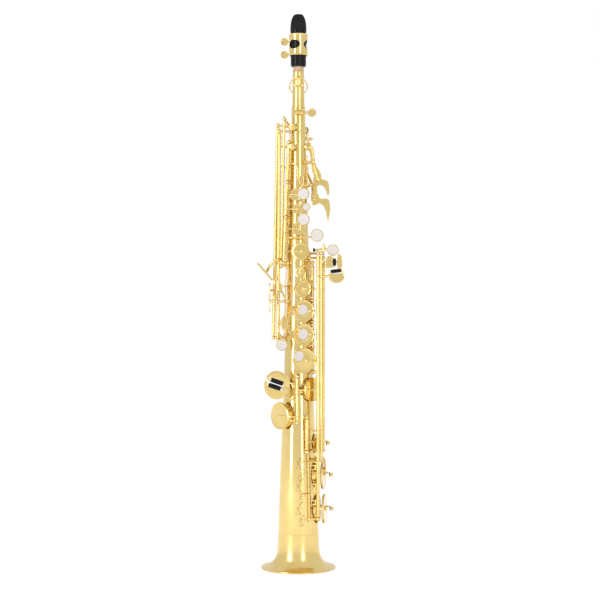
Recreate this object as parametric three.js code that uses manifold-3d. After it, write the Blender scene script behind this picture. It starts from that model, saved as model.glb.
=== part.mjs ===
// Soprano saxophone: straight conical body with its bell, a straight neck, the mouthpiece and
// the keywork. Millimetres, +Z up. The origin is the centre of the bell rim, the tube's axis is
// Z, and the front of the instrument, which faces away from the player, is -Y.
import * as THREE from 'three';
import { mergeVertices } from 'three/addons/utils/BufferGeometryUtils.js';
import Module from 'manifold-3d';

const wasm = await Module();
wasm.setup();

// ---------------------------------------------------------------- driving dimensions
const GAP = 0.3;                 // room left between pieces that would touch
const BELL_RADIUS = 46.5;        // outer radius of the bell rim
const BELL_TOP = 44;             // height at which the bell is joined to the body tube
const BODY_TOP = 571;            // top of the neck receiver
const WALL = 1.2;                // thickness of the tube wall
const RECEIVER_BOTTOM = 551;     // lower edge of the neck receiver
const RECEIVER_RADIUS = 8.4;
const TENON_RADIUS = 6.6;        // part of the neck that sits in the receiver
const NECK_TOP = 645;            // end of the neck tube, inside the mouthpiece
const MOUTHPIECE_BOTTOM = 622.8;
const MOUTHPIECE_TOP = 690;
const CHIMNEY_HEIGHT = 3;        // tone hole chimney above the tube
const CHIMNEY_WALL = 0.9;
const SMALL_HOLE = 6.5;           // tone holes below this radius are made with fewer sides
const CUP_THICKNESS = 3;         // key cup with its pad
const HINGE_TUBE = 2.1;          // outer radius of a hinge tube
const HINGE_BORE = 1.5;          // its bore
const HINGE_ROD = 1.1;           // steel rod through it
const POST_BALL = 2.6;           // ball head of a post
const POST_STEM = 1.5;
const ARM = 1.1;                 // radius of a key arm
const PEARL_THICKNESS = 1.6;
const HOLDER_THICKNESS = 1.5;    // brass holder that a pearl sits in
const PLATE = 1.6;               // thickness of a touch plate

// The outer radius of the tube against height, from the bell rim up to the neck receiver.
const BELL_PROFILE = [[2, 41], [5, 36], [9, 31.4], [14, 28.4], [22, 26.4], [44, 25.3]];
const BODY_PROFILE = [[44, 25.3], [109, 23.2], [171, 20.6], [258, 17.4], [345, 14.2], [420, 12.1],
  [551, 8.4]];

// Tone holes: height, direction round the tube (degrees from the front towards +X), radius of
// the hole and radius of the cup that covers it.
const HOLES = {
  high_e: { z: 547, az: -30, hole: 2.6, cup: 4.4 },
  octave: { z: 522.5, az: -32, hole: 1.6, cup: 4.4 },
  side_c: { z: 524, az: -125, hole: 3.4, cup: 5.0 },
  side_b_flat: { z: 498, az: -135, hole: 3.8, cup: 5.4 },
  palm_f: { z: 545, az: 135, hole: 3.0, cup: 4.6 },
  palm_e_flat: { z: 523.5, az: 90, hole: 3.6, cup: 5.4 },
  palm_d: { z: 497, az: 150, hole: 4.0, cup: 5.6 },
  b: { z: 463, az: -6.6, hole: 5.6, cup: 8.0 },
  bis: { z: 445, az: -2, hole: 4.6, cup: 6.6 },
  a: { z: 420.8, az: 7.1, hole: 6.4, cup: 9.0 },
  g: { z: 392.8, az: 12, hole: 7.8, cup: 10.9 },
  g_sharp: { z: 367, az: 5, hole: 4.8, cup: 7.0 },
  f_sharp: { z: 346.7, az: 14.3, hole: 7.6, cup: 10.3 },
  trill: { z: 304, az: -118, hole: 4.8, cup: 7.2 },
  f: { z: 319.6, az: 16, hole: 10.4, cup: 13.7 },
  e: { z: 290.3, az: 16, hole: 10.4, cup: 13.7 },
  d: { z: 258.4, az: 16.3, hole: 9.8, cup: 15.6 },
  e_flat: { z: 222.6, az: 48, hole: 12.0, cup: 15.0 },
  c: { z: 190, az: -58, hole: 13.6, cup: 17.0 },
  c_sharp: { z: 155, az: 90, hole: 9.6, cup: 12.5 },
  low_b: { z: 115.7, az: 90, hole: 14.6, cup: 18.6 },
  b_flat: { z: 73.5, az: 90, hole: 15.0, cup: 18.7 },
};

// Hinge lines, each from its lower to its upper end.
const LINES = {
  upper_stack: [[-18.2, -9.6, 376], [-11.8, -9.4, 530]],
  lower_stack: [[17.6, -12.8, 240], [17.6, -9.0, 381]],
  side_c: [[-31.0, 3, 289], [-25.8, 3, 548]],
  side_b_flat: [[-25.0, -3, 333], [-23.6, -3, 540]],
  trill: [[-25.2, -4, 286], [-25.0, -4, 329]],
  high_e: [[-21.4, -5.4, 373], [-17.5, -6.5, 558]],
  b_flat: [[24.2, -22, 64], [24.2, -19, 390]],
  low_b: [[28.4, -20.3, 136], [28.4, -17.95, 390]],
  c_sharp_lever: [[31.2, -17, 148], [31.2, -14.8, 385]],
  c_sharp: [[10.5, -24.9, 148], [10.5, -24.2, 190]],
  pinky: [[-1.5, -25.6, 184], [-1.5, -24.2, 238]],
};

const COLOURS = {
  lacquer: { color: 0xe6c86e, roughness: 0.18, metalness: 1 },
  pearl: { color: 0xf7efe4, roughness: 0.2, metalness: 0 },
  roller: { color: 0x141210, roughness: 0.35, metalness: 0 },
  ebonite: { color: 0x101012, roughness: 0.3, metalness: 0 },
  cork: { color: 0xc99a6b, roughness: 0.9, metalness: 0 },
  cane: { color: 0xe2cf9c, roughness: 0.7, metalness: 0 },
};

// ---------------------------------------------------------------- geometry helpers
const vec = (point) => new THREE.Vector3(...point);

// Outer radius of a profile of [height, radius] pairs at a height.
function radiusAt(profile, z) {
  const upper = Math.max(1, profile.findIndex(([height]) => height >= z));
  const [z0, r0] = profile[upper - 1];
  const [z1, r1] = profile[upper];
  return r0 + ((r1 - r0) * (z - z0)) / (z1 - z0);
}

const tubeRadius = (z) => radiusAt(BODY_PROFILE, z);

// Direction away from the tube at an azimuth, and along its circumference.
function outward(az) {
  const a = THREE.MathUtils.degToRad(az);
  return new THREE.Vector3(Math.sin(a), -Math.cos(a), 0);
}

function around(az) {
  const a = THREE.MathUtils.degToRad(az);
  return new THREE.Vector3(Math.cos(a), Math.sin(a), 0);
}

function polar(az, r, z) {
  return outward(az).multiplyScalar(r).setZ(z);
}

// Point of a hinge line at a height.
function onLine(line, z) {
  const [low, high] = line.map(vec);
  return low.lerp(high, (z - low.z) / (high.z - low.z));
}

function solid(geometry) {
  const bare = geometry.index ? geometry.toNonIndexed() : geometry;
  for (const name of Object.keys(bare.attributes)) {
    if (name !== 'position') bare.deleteAttribute(name);
  }
  const merged = mergeVertices(bare, 1e-4);
  return new wasm.Manifold(new wasm.Mesh({
    numProp: 3,
    vertProperties: new Float32Array(merged.attributes.position.array),
    triVerts: new Uint32Array(merged.index.array),
  }));
}

const union = (solids) => solids.reduce((sum, next) => sum.add(next));
const cut = (base, tools) => tools.reduce((rest, tool) => rest.subtract(tool), base);

// Turns a geometry built along +Y so that it runs from one point towards another.
function place(geometry, from, direction) {
  const turn = new THREE.Quaternion().setFromUnitVectors(new THREE.Vector3(0, 1, 0), direction);
  geometry.applyQuaternion(turn);
  geometry.translate(from.x, from.y, from.z);
  return solid(geometry);
}

function rod(from, to, radius, sides = 7, endRadius = radius) {
  const a = Array.isArray(from) ? vec(from) : from;
  const b = Array.isArray(to) ? vec(to) : to;
  const length = a.distanceTo(b);
  const geometry = new THREE.CylinderGeometry(endRadius, radius, length, sides);
  geometry.translate(0, length / 2, 0);
  return place(geometry, a, b.clone().sub(a).normalize());
}

function ball(centre, radius) {
  const c = Array.isArray(centre) ? vec(centre) : centre;
  const geometry = new THREE.SphereGeometry(radius, 6, 4);
  geometry.translate(c.x, c.y, c.z);
  return solid(geometry);
}

// A disc whose back face is centred on a point, with its edge eased on the front.
function disc(back, normal, radius, thickness, sides = 12) {
  const geometry = new THREE.CylinderGeometry(radius * 0.93, radius, thickness, sides);
  geometry.translate(0, thickness / 2, 0);
  return place(geometry, back, normal);
}

function box(low, high) {
  const size = high.map((value, i) => value - low[i]);
  const geometry = new THREE.BoxGeometry(...size);
  geometry.translate(...low.map((value, i) => value + size[i] / 2));
  return solid(geometry);
}

// A solid of revolution about the tube's axis, from [radius, height] pairs that close on
// themselves or start and end on the axis.
function lathe(pairs, sides) {
  const geometry = new THREE.LatheGeometry(pairs.map(([r, z]) => new THREE.Vector2(r, z)), sides);
  geometry.rotateX(Math.PI / 2);
  return solid(geometry);
}

// A round wire through points.
function wire(points, radius, steps = 6, sides = 5) {
  const path = new THREE.CatmullRomCurve3(points.map((p) => (Array.isArray(p) ? vec(p) : p)));
  const section = new THREE.Shape();
  for (let i = 0; i < sides; i += 1) {
    const a = (i / sides) * Math.PI * 2;
    const move = i === 0 ? 'moveTo' : 'lineTo';
    section[move](radius * Math.cos(a), radius * Math.sin(a));
  }
  section.closePath();
  return solid(new THREE.ExtrudeGeometry(section, { steps, extrudePath: path, curveSegments: 1 }));
}

// A flat plate that faces the front: its outline in X and Z, its back face at a depth.
function frontPlate(outline, back, thickness = PLATE) {
  const shape = new THREE.Shape(outline.map(([x, z]) => new THREE.Vector2(x, z)));
  const geometry = new THREE.ExtrudeGeometry(shape, { depth: thickness, bevelEnabled: false });
  geometry.rotateX(Math.PI / 2);
  geometry.translate(0, back, 0);
  return solid(geometry);
}

// Points along a stretch of an ellipse, for outlines.
function arc(cx, cz, rx, rz, fromDeg, toDeg, count = 8) {
  return Array.from({ length: count + 1 }, (unused, i) => {
    const a = THREE.MathUtils.degToRad(fromDeg + ((toDeg - fromDeg) * i) / count);
    return [cx + rx * Math.cos(a), cz + rz * Math.sin(a)];
  });
}

// ---------------------------------------------------------------- the scene graph
const saxophone = new THREE.Group();

function addNode(name, shape, finish, parent = saxophone) {
  const data = shape.getMesh();
  const geometry = new THREE.BufferGeometry();
  geometry.setAttribute('position', new THREE.BufferAttribute(data.vertProperties, 3));
  geometry.setIndex(new THREE.BufferAttribute(data.triVerts, 1));
  geometry.computeVertexNormals();
  const mesh = new THREE.Mesh(geometry, new THREE.MeshStandardMaterial(COLOURS[finish]));
  mesh.name = name;
  parent.add(mesh);
  return mesh;
}

// A group turned about a hinge line, for a key that stands open at rest.
function turnedGroup(line, degrees) {
  const [low, high] = line.map(vec);
  const axis = high.clone().sub(low).normalize();
  const turn = new THREE.Matrix4().makeRotationAxis(axis, THREE.MathUtils.degToRad(degrees));
  const there = new THREE.Matrix4().makeTranslation(low);
  const back = new THREE.Matrix4().makeTranslation(low.clone().negate());
  const group = new THREE.Group();
  group.applyMatrix4(there.multiply(turn).multiply(back));
  saxophone.add(group);
  return group;
}

// A shape given as it rests, turned back to where it is in its key's own closed position.
function asClosed(line, degrees, shape) {
  const [low, high] = line.map(vec);
  const axis = high.clone().sub(low).normalize();
  const turn = new THREE.Matrix4().makeRotationAxis(axis, THREE.MathUtils.degToRad(-degrees));
  const there = new THREE.Matrix4().makeTranslation(low);
  const back = new THREE.Matrix4().makeTranslation(low.clone().negate());
  return shape.transform(there.multiply(turn).multiply(back).elements);
}

// ---------------------------------------------------------------- tube, bell and receiver
const inner = (pairs) => pairs.map(([z, r]) => [r - WALL, z]);
const outer = (pairs) => pairs.map(([z, r]) => [r, z]);

function bell() {
  const rim = [[BELL_RADIUS - 2.6, 0], [BELL_RADIUS - 0.4, 0], [BELL_RADIUS, 0.9], [BELL_RADIUS - 0.6, 1.9],
    [43.2, 1.7]];
  const outside = outer(BELL_PROFILE);
  outside[outside.length - 1][1] = BELL_TOP - GAP;
  const inside = inner(BELL_PROFILE).reverse();
  inside[0][1] = BELL_TOP - GAP;
  return lathe([...rim, ...outside, ...inside, [BELL_RADIUS - 2.6, 0]], 28);
}

function chimney(hole) {
  const base = polar(hole.az, tubeRadius(hole.z) - 2 * WALL, hole.z);
  const top = polar(hole.az, tubeRadius(hole.z) + CHIMNEY_HEIGHT, hole.z);
  const reach = tubeRadius(hole.z) * (1 - Math.cos(Math.asin(Math.min(1, hole.hole / tubeRadius(hole.z)))));
  const foot = base.clone().addScaledVector(outward(hole.az), -reach);
  return rod(foot, top, hole.hole + CHIMNEY_WALL, hole.hole > SMALL_HOLE ? 10 : 6);
}

function drill(hole) {
  const start = polar(hole.az, tubeRadius(hole.z) * 0.3, hole.z);
  const end = polar(hole.az, tubeRadius(hole.z) + CHIMNEY_HEIGHT + 1, hole.z);
  return rod(start, end, hole.hole, hole.hole > SMALL_HOLE ? 10 : 6);
}

function bodyTube() {
  const skin = outer(BODY_PROFILE);
  const bore = inner(BODY_PROFILE);
  const receiverOutside = [[RECEIVER_RADIUS, RECEIVER_BOTTOM], [RECEIVER_RADIUS, BODY_TOP]];
  const socket = TENON_RADIUS + GAP;
  const outside = lathe([[0, BELL_TOP], ...skin, ...receiverOutside, [0, BODY_TOP]], 20);
  const hollow = lathe([[0, BELL_TOP - 1], [bore[0][0], BELL_TOP - 1], ...bore.slice(1),
    [socket, RECEIVER_BOTTOM], [socket, BODY_TOP + 1], [0, BODY_TOP + 1]], 20);
  const lugs = box([-4.4, -15.5, 561], [4.4, -7.5, 568.4]);
  const slit = box([-0.6, -16, 557], [0.6, -4, BODY_TOP + 1]);
  const screwHole = rod([-5, -12, 564.6], [5, -12, 564.6], 1.8, 10);
  const holes = Object.values(HOLES);
  const walls = union([outside, lugs, ...holes.map(chimney)]);
  return cut(walls, [hollow, slit, screwHole, ...holes.map(drill)]);
}

// ---------------------------------------------------------------- posts and ribs
const RIB_HALF_WIDTH = 1.1;
const RIB_THICKNESS = 1.4;
const RIB_LIFT = 0.95;           // from the tube to the strip, which bridges its curve

// A flat strip soldered along the tube, which carries a row of posts.
function strip(az, low, high) {
  const foot = polar(az, tubeRadius(low) + RIB_LIFT, low);
  const head = polar(az, tubeRadius(high) + RIB_LIFT, high);
  const length = foot.distanceTo(head);
  const geometry = new THREE.BoxGeometry(RIB_HALF_WIDTH * 2, RIB_THICKNESS, length);
  geometry.translate(0, RIB_THICKNESS / 2, length / 2);
  const up = head.clone().sub(foot).normalize();
  const out = outward(az).addScaledVector(up, -outward(az).dot(up)).normalize();
  const basis = new THREE.Matrix4().makeBasis(out.clone().cross(up), out, up);
  geometry.applyMatrix4(basis);
  geometry.translate(foot.x, foot.y, foot.z);
  return solid(geometry);
}

// A post: a stem from a point at the tube to a ball head on the hinge line.
function post(base, head, ballRadius = POST_BALL) {
  return union([rod(base, head, POST_STEM, 5), ball(head, ballRadius)]);
}

function ribPosts(az, line, heights) {
  return heights.map((z) => post(polar(az, tubeRadius(z) + 1.2, z), onLine(line, z)));
}

function upperStackRib() {
  const az = -66;
  return union([
    strip(az, 376, 531),
    ...ribPosts(az, LINES.upper_stack, [379, 435.5, 479, 528.4]),
    rod(onLine(LINES.upper_stack, 378), onLine(LINES.upper_stack, 529), HINGE_ROD, 6),
  ]);
}

function lowerStackRib() {
  const az = 76;
  const { b_flat: flat, low_b: b, c_sharp_lever: sharp, lower_stack: stack } = LINES;
  const topPost = (line, z) => post(polar(az, tubeRadius(z) + 1.2, z), onLine(line, z));
  return union([
    strip(az, 242, 393),
    ...ribPosts(az, stack, [244, 273, 306, 332.3, 354, 379]),
    rod(onLine(stack, 243), onLine(stack, 380), HINGE_ROD, 6),
    topPost(flat, 390.5),
    topPost(b, 390.5),
    topPost(sharp, 385),
    rod(onLine(sharp, 385), onLine(sharp, 402), HINGE_ROD, 6),
  ]);
}

function sideKeyRib() {
  const az = -88;
  const { side_c: c, side_b_flat: flat, trill, high_e: e } = LINES;
  return union([
    strip(az, 283, 549),
    ...ribPosts(az, c, [286.5]),
    ...ribPosts(az, flat, [331.4, 542.5]),
    ...ribPosts(az, trill, [283.5]),
    post(polar(az, tubeRadius(375) + 1.2, 375.4), onLine(e, 375.4), 1.9),
    post(polar(az, tubeRadius(548) + 1.2, 548), onLine(c, 550.5)),
    post(polar(az, tubeRadius(548) + 1.2, 548), onLine(e, 557.6), 2.2),
  ]);
}

// Palm keys rock about short hinges that lie across the tube: front and rear ball of each.
const PALM_POSTS = {
  palm_e_flat: [[18.5, -7.4, 504], [18.5, 5.4, 504]],
  palm_d: [[15.5, -3.4, 476], [15.5, 8.4, 476]],
};

function palmKeyRib() {
  const az = 112;
  const rear = Object.values(PALM_POSTS).map(([, head]) => head);
  return union([
    strip(az, 466, 514),
    ...rear.map((head) => post(polar(az, tubeRadius(head[2]) + 1.2, head[2]), vec(head), 2.2)),
  ]);
}

// The palm F key's hinge, across the back right of the tube, and the octave lever's, across the
// back: distances from the axis, and from the middle of the hinge to its posts.
const PALM_F = { az: 137, reach: 16.5, height: 534, post: 6.8, half: 4.2 };
const OCTAVE = { depth: 16.5, height: 470, post: 7.6, half: 5.0 };

function palmFPoint(side) {
  return polar(PALM_F.az, PALM_F.reach, PALM_F.height).addScaledVector(around(PALM_F.az), side);
}

// Posts that stand on the tube by themselves.
function singlePosts() {
  const stands = [
    [[12, -20.5, 64], onLine(LINES.b_flat, 63.6)],
    [polar(70, 20.5, 136), onLine(LINES.low_b, 136), 1.8],
    [polar(60, 20, 147.5), onLine(LINES.c_sharp_lever, 147.5)],
    [polar(23, 20, 146.5), onLine(LINES.c_sharp, 146.5)],
    [polar(23, 18.5, 189), onLine(LINES.c_sharp, 189)],
    [polar(-4, 18.5, 182.5), onLine(LINES.pinky, 182.5)],
    [polar(-4, 16.5, 239), onLine(LINES.pinky, 239)],
    [[6, -7.4, 504], PALM_POSTS.palm_e_flat[0], 2.2],
    [[8, -3.4, 476], PALM_POSTS.palm_d[0], 2.2],
    [polar(112, 7, PALM_F.height), palmFPoint(-PALM_F.post), 1.8],
    [polar(162, 7, PALM_F.height), palmFPoint(PALM_F.post), 1.8],
    [[-6, 8, OCTAVE.height], [-OCTAVE.post, OCTAVE.depth, OCTAVE.height], 2.0],
    [[6, 8, OCTAVE.height], [OCTAVE.post, OCTAVE.depth, OCTAVE.height], 2.0],
  ];
  const rodThroughPinkyKeys = rod(onLine(LINES.pinky, 182), onLine(LINES.pinky, 239.5), HINGE_ROD, 6);
  const point = (p) => (Array.isArray(p) ? vec(p) : p);
  const stems = stands.map(([base, head, size]) => post(point(base), point(head), size));
  return union([...stems, rodThroughPinkyKeys]);
}

// ---------------------------------------------------------------- keys
// Centre of a cup's outer face, offset along and around the tube.
function cupTop(hole, up = 0, side = 0, lift = 0) {
  const height = tubeRadius(hole.z) + CHIMNEY_HEIGHT + GAP + CUP_THICKNESS + lift;
  return polar(hole.az, height, hole.z + up).addScaledVector(around(hole.az), side);
}

function cup(hole) {
  const back = polar(hole.az, tubeRadius(hole.z) + CHIMNEY_HEIGHT + GAP, hole.z);
  return disc(back, outward(hole.az), hole.cup, CUP_THICKNESS, hole.cup > 12 ? 16 : 12);
}

// Hinge tube between two heights of a line; a bored one turns on a rod, a plain one on points.
function hingeTube(line, low, high, radius = HINGE_TUBE) {
  return rod(onLine(line, low), onLine(line, high), radius, 7);
}

function hingeBore(line, low, high) {
  return rod(onLine(line, low - 1), onLine(line, high + 1), HINGE_BORE, 6);
}

// An arm from a hinge line across the top of a cup.
function cupArm(line, z, hole, reach, end = 0, via = []) {
  const centre = cupTop(hole, 0, end, 0.5);
  const edge = cupTop(hole, 0, reach, 0.7);
  return wire([onLine(line, z), ...via, edge, centre], ARM, 5);
}

// Pearl seats: the centre of the back of the holder, the radius of the pearl, and the direction
// round the tube that it faces.
const seatOnCup = (hole, up, side) => cupTop(hole, up, side, -0.3).toArray();
const PEARLS = {
  b: { back: [7.3, -16.6, 463.4], radius: 6.8, az: 0 },
  bis: { back: [11.1, -17.2, 447.2], radius: 4.2, az: 0 },
  a: { back: [7.8, -18.0, 432], radius: 6.9, az: 0 },
  g: { back: [24.8, -19.0, 412.3], radius: 7.1, az: 0 },
  f: { back: seatOnCup(HOLES.f, 1.4, -3), radius: 6.5, az: 16 },
  e: { back: seatOnCup(HOLES.e, 0.7, -2.8), radius: 6.6, az: 16 },
  d: { back: seatOnCup(HOLES.d, 5.9, -9), radius: 6.4, az: 16.3 },
  trill: { back: [-20.3, -19, 277.6], radius: 6.4, az: 0 },
  g_sharp: { back: [42.5, -18, 394.5], radius: 6.4, az: 0 },
};

function pearlHolder({ back, radius, az }) {
  return disc(vec(back), outward(az), radius + 0.7, HOLDER_THICKNESS, 12);
}

function pearlDisc({ back, radius, az }) {
  const seat = vec(back).addScaledVector(outward(az), HOLDER_THICKNESS + GAP);
  return disc(seat, outward(az), radius, PEARL_THICKNESS, 12);
}

// Stack keys: their hinge tube's heights, the angle they stand open by, and their parts.
const STACK = [
  {
    name: 'b_key', pearl: 'b', line: 'upper_stack', hole: 'b', tube: [450.6, 476.2], open: 7,
    extra: () => [pearlHolder(PEARLS.b)],
  },
  {
    name: 'bis_key', pearl: 'bis', line: 'upper_stack', hole: 'bis', tube: [438.3, 450.2], open: 7,
    extra: () => [pearlHolder(PEARLS.bis), rod([2, -17.6, 445], [9, -17.8, 446.6], 0.8, 6)],
  },
  {
    name: 'a_key', pearl: 'a', line: 'upper_stack', hole: 'a', tube: [414.2, 432.6], open: 7,
    extra: () => [pearlHolder(PEARLS.a)],
  },
  {
    name: 'g_key', pearl: 'g', line: 'upper_stack', hole: 'g', tube: [382, 413.8], open: 7,
    extra: () => [
      pearlHolder(PEARLS.g),
      wire([
        onLine(LINES.upper_stack, 409.6), [-10, -19.4, 409.6], [6, -21.2, 409.6], [20, -19.4, 410.6],
      ], ARM, 7),
    ],
  },
  {
    name: 'f_sharp_key', line: 'lower_stack', hole: 'f_sharp', tube: [335.4, 351], open: 7,
    extra: () => [
      wire([onLine(LINES.lower_stack, 349), [14, -20, 352], [7.4, -23, 358], [7, -22.4, 366]], 1, 6),
    ],
  },
  {
    name: 'f_key', pearl: 'f', line: 'lower_stack', hole: 'f', tube: [309, 329.2], open: 7, armEnd: 5,
    extra: () => [pearlHolder(PEARLS.f)],
  },
  {
    name: 'e_key', pearl: 'e', line: 'lower_stack', hole: 'e', tube: [276, 303], open: 7, armEnd: 5,
    extra: () => [pearlHolder(PEARLS.e)],
  },
  {
    name: 'd_key', pearl: 'd', line: 'lower_stack', hole: 'd', tube: [247, 270], open: 7, armEnd: 2,
    extra: () => [pearlHolder(PEARLS.d)],
  },
];

// Keys on the left of the tube open the other way round their hinge from keys on the right.
function stackKeys() {
  for (const { name, pearl, line, hole, tube, open, armEnd = 0, extra } of STACK) {
    const onLeft = line === 'upper_stack';
    const hinge = LINES[line];
    const place = HOLES[hole];
    const side = place.cup * 0.75 * (onLeft ? -1 : 1);
    const body = cut(union([
      hingeTube(hinge, ...tube),
      cup(place),
      cupArm(hinge, place.z, place, side, armEnd),
      ...extra(),
    ]), [hingeBore(hinge, ...tube)]);
    const group = turnedGroup(hinge, onLeft ? -open : open);
    addNode(name, body, 'lacquer', group);
    if (pearl) addNode(`${pearl}_pearl`, pearlDisc(PEARLS[pearl]), 'pearl', group);
  }
}

// A key that is closed at rest: a hinge tube with a cup on an arm, and its other parts.
function closedKey(name, line, tube, parts) {
  addNode(name, union([hingeTube(LINES[line], ...tube), ...parts]), 'lacquer');
}

// Bored keys on the steel rods of the ribs.
function boredKey(name, line, tube, parts, parent) {
  const hinge = LINES[line];
  const body = union([hingeTube(hinge, ...tube), ...parts]);
  return addNode(name, cut(body, [hingeBore(hinge, ...tube)]), 'lacquer', parent);
}

function upperKeys() {
  const stack = LINES.upper_stack;
  const octave = HOLES.octave;
  boredKey('body_octave_key', 'upper_stack', [513, 525.4], [
    cup(octave),
    wire([onLine(stack, 519), [-10.6, -12.4, 521], cupTop(octave, 0, 0, 0.5)], 0.9, 4),
  ]);
  boredKey('front_f_key', 'upper_stack', [482, 511.5], [
    wire([
      onLine(stack, 500), [-7, -15.6, 501.5], [-1.6, -17.6, 497], [-0.8, -17.8, 484], [3, -17.8, 480],
    ], 0.9, 10),
    frontPlate(arc(3.8, 479.6, 3.2, 7.2, 0, 360, 12).slice(0, -1), -17.2),
  ]);
  const gSharp = HOLES.g_sharp;
  boredKey('g_sharp_key', 'lower_stack', [357, 376], [
    cup(gSharp),
    wire([
      onLine(LINES.lower_stack, 374), [14, -16.5, 374.6], [6, -20.8, 374.6], cupTop(gSharp, 2, 0, 0.7),
    ], 1, 6),
  ]);
}

function palmKeys() {
  const flat = HOLES.palm_e_flat;
  const [flatLow, flatHigh] = PALM_POSTS.palm_e_flat.map(vec);
  addNode('palm_e_flat_key', union([
    rod([flatLow.x, flatLow.y + 2.9, flatLow.z], [flatLow.x, flatHigh.y - 2.9, flatLow.z], HINGE_TUBE, 8),
    cup(flat),
    wire([cupTop(flat, 0, 0, 0.5), [17.6, 0, 517], [18.9, -1, 504], [22, -3.6, 493], [25, -5, 482]], 1.5, 8),
    frontPlate([[22, 488], [26, 483.6], [31, 482.4], [36, 480.4], [38, 476], [38.4, 469], [36.8, 462.4],
      [35.4, 465], [34.6, 470], [31.6, 474], [27, 475.8], [23, 475]], -4, 2.2),
  ]), 'lacquer');
  const d = HOLES.palm_d;
  const [dLow, dHigh] = PALM_POSTS.palm_d.map(vec);
  addNode('palm_d_key', union([
    rod([dLow.x, dLow.y + 2.6, dLow.z], [dLow.x, dHigh.y - 4, dLow.z], HINGE_TUBE, 8),
    cup(d),
    wire([cupTop(d, 0, 0, 0.5), [12.6, 13.4, 488], [17.4, 4, 476], [18.5, -1, 466], [19.5, -5, 458]], 1.4, 8),
    frontPlate([[17, 464], [22, 459.8], [28, 458.6], [35, 458.8], [38, 456.6], [39.6, 449], [39.2, 441],
      [36.6, 430], [35.4, 436], [33.8, 444], [30, 450.6], [25, 452.8], [18, 450.6]], -4, 2.2),
  ]), 'lacquer');
}

function sideKeys() {
  const { side_c: c, side_b_flat: flat, high_e: e, trill } = LINES;
  closedKey('side_c_key', 'side_c', [289.4, 547.6], [
    cup(HOLES.side_c),
    wire([onLine(c, 526), [-21, 9.4, 525], cupTop(HOLES.side_c, 0, 0, 0.5)], ARM, 5),
    wire([onLine(c, 345), [-33.4, -1, 345], [-35.4, -3.4, 345]], ARM, 4),
    box([-36.4, -12.6, 337], [-34.8, -2.6, 353]),
  ]);
  closedKey('side_b_flat_key', 'side_b_flat', [334.3, 539.6], [
    cup(HOLES.side_b_flat),
    wire([
      onLine(flat, 500), [-20.4, 3.6, 499], [-15, 11.5, 498], cupTop(HOLES.side_b_flat, 0, 0, 0.5),
    ], ARM, 7),
    wire([onLine(flat, 336), [-29, -6.6, 334], [-35.4, -8.6, 330]], ARM, 4),
    box([-36.4, -14, 318], [-34.8, -4, 335.4]),
  ]);
  const slope = [[-51, 378.4], [-49.8, 379.4], [-31.8, 358.2], [-33, 357.2]];
  closedKey('side_high_e_key', 'high_e', [378.4, 553.6], [
    cup(HOLES.high_e),
    wire([onLine(e, 549), [-12, -11.4, 548], cupTop(HOLES.high_e, 0, 0, 0.5)], ARM, 5),
    wire([onLine(e, 384), [-26, -10.6, 383], [-33, -9.6, 378], [-40, -4, 367.2]], ARM, 7),
    frontPlate(slope, -2, 12),
  ]);
  closedKey('f_sharp_trill_key', 'trill', [286.4, 328.5], [
    cup(HOLES.trill),
    wire([onLine(trill, 304), [-25, 5, 304], cupTop(HOLES.trill, 0, 0, 0.5)], ARM, 5),
    wire([onLine(trill, 292), [-21.4, -15, 288], [-19, -18.6, 283]], ARM, 5),
    pearlHolder(PEARLS.trill),
  ]);
}

// ---------------------------------------------------------------- low keys and their touches
const OPEN = { c: 8, low_b: 9, b_flat: 8 };
const TOUCH_BACK = -22.4;        // back face of the little finger touches of the left hand
const ROLLER = 2.2;              // outer radius of a roller
const ROLLER_BORE = 0.9;
const ROLLER_PIN = 0.6;
const LUG = 1.2;                 // thickness of the lugs at a roller's ends

const ROLLERS = {
  c_sharp_roller: { ends: [[44.2, -25, 375.2], [44.2, -25, 383.4]] },
  b_flat_roller: { ends: [[39.8, -23.2, 367.8], [52.6, -23.2, 369.4]] },
  e_flat_roller: { ends: [[-33.5, -28.6, 235.4], [-18.7, -28.6, 230.3]] },
  c_roller: { ends: [[-36.3, -28.6, 229.2], [-21.7, -28.6, 224.2]] },
};

// The pin and two lugs that hold a roller, and the bored roller itself.
function rollerMount({ ends }) {
  const [a, b] = ends.map(vec);
  const along = b.clone().sub(a).normalize();
  const lugA = a.clone().addScaledVector(along, -LUG - GAP);
  const lugB = b.clone().addScaledVector(along, LUG + GAP);
  return [
    rod(lugA, lugB, ROLLER_PIN, 6),
    rod(lugA, lugA.clone().addScaledVector(along, LUG), 1.7, 8),
    rod(lugB.clone().addScaledVector(along, -LUG), lugB, 1.7, 8),
  ];
}

function roller({ ends }) {
  const [a, b] = ends.map(vec);
  const along = b.clone().sub(a).normalize();
  const bore = rod(a.clone().addScaledVector(along, -1), b.clone().addScaledVector(along, 1), ROLLER_BORE, 6);
  return cut(rod(a, b, ROLLER, 12), [bore]);
}

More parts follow.
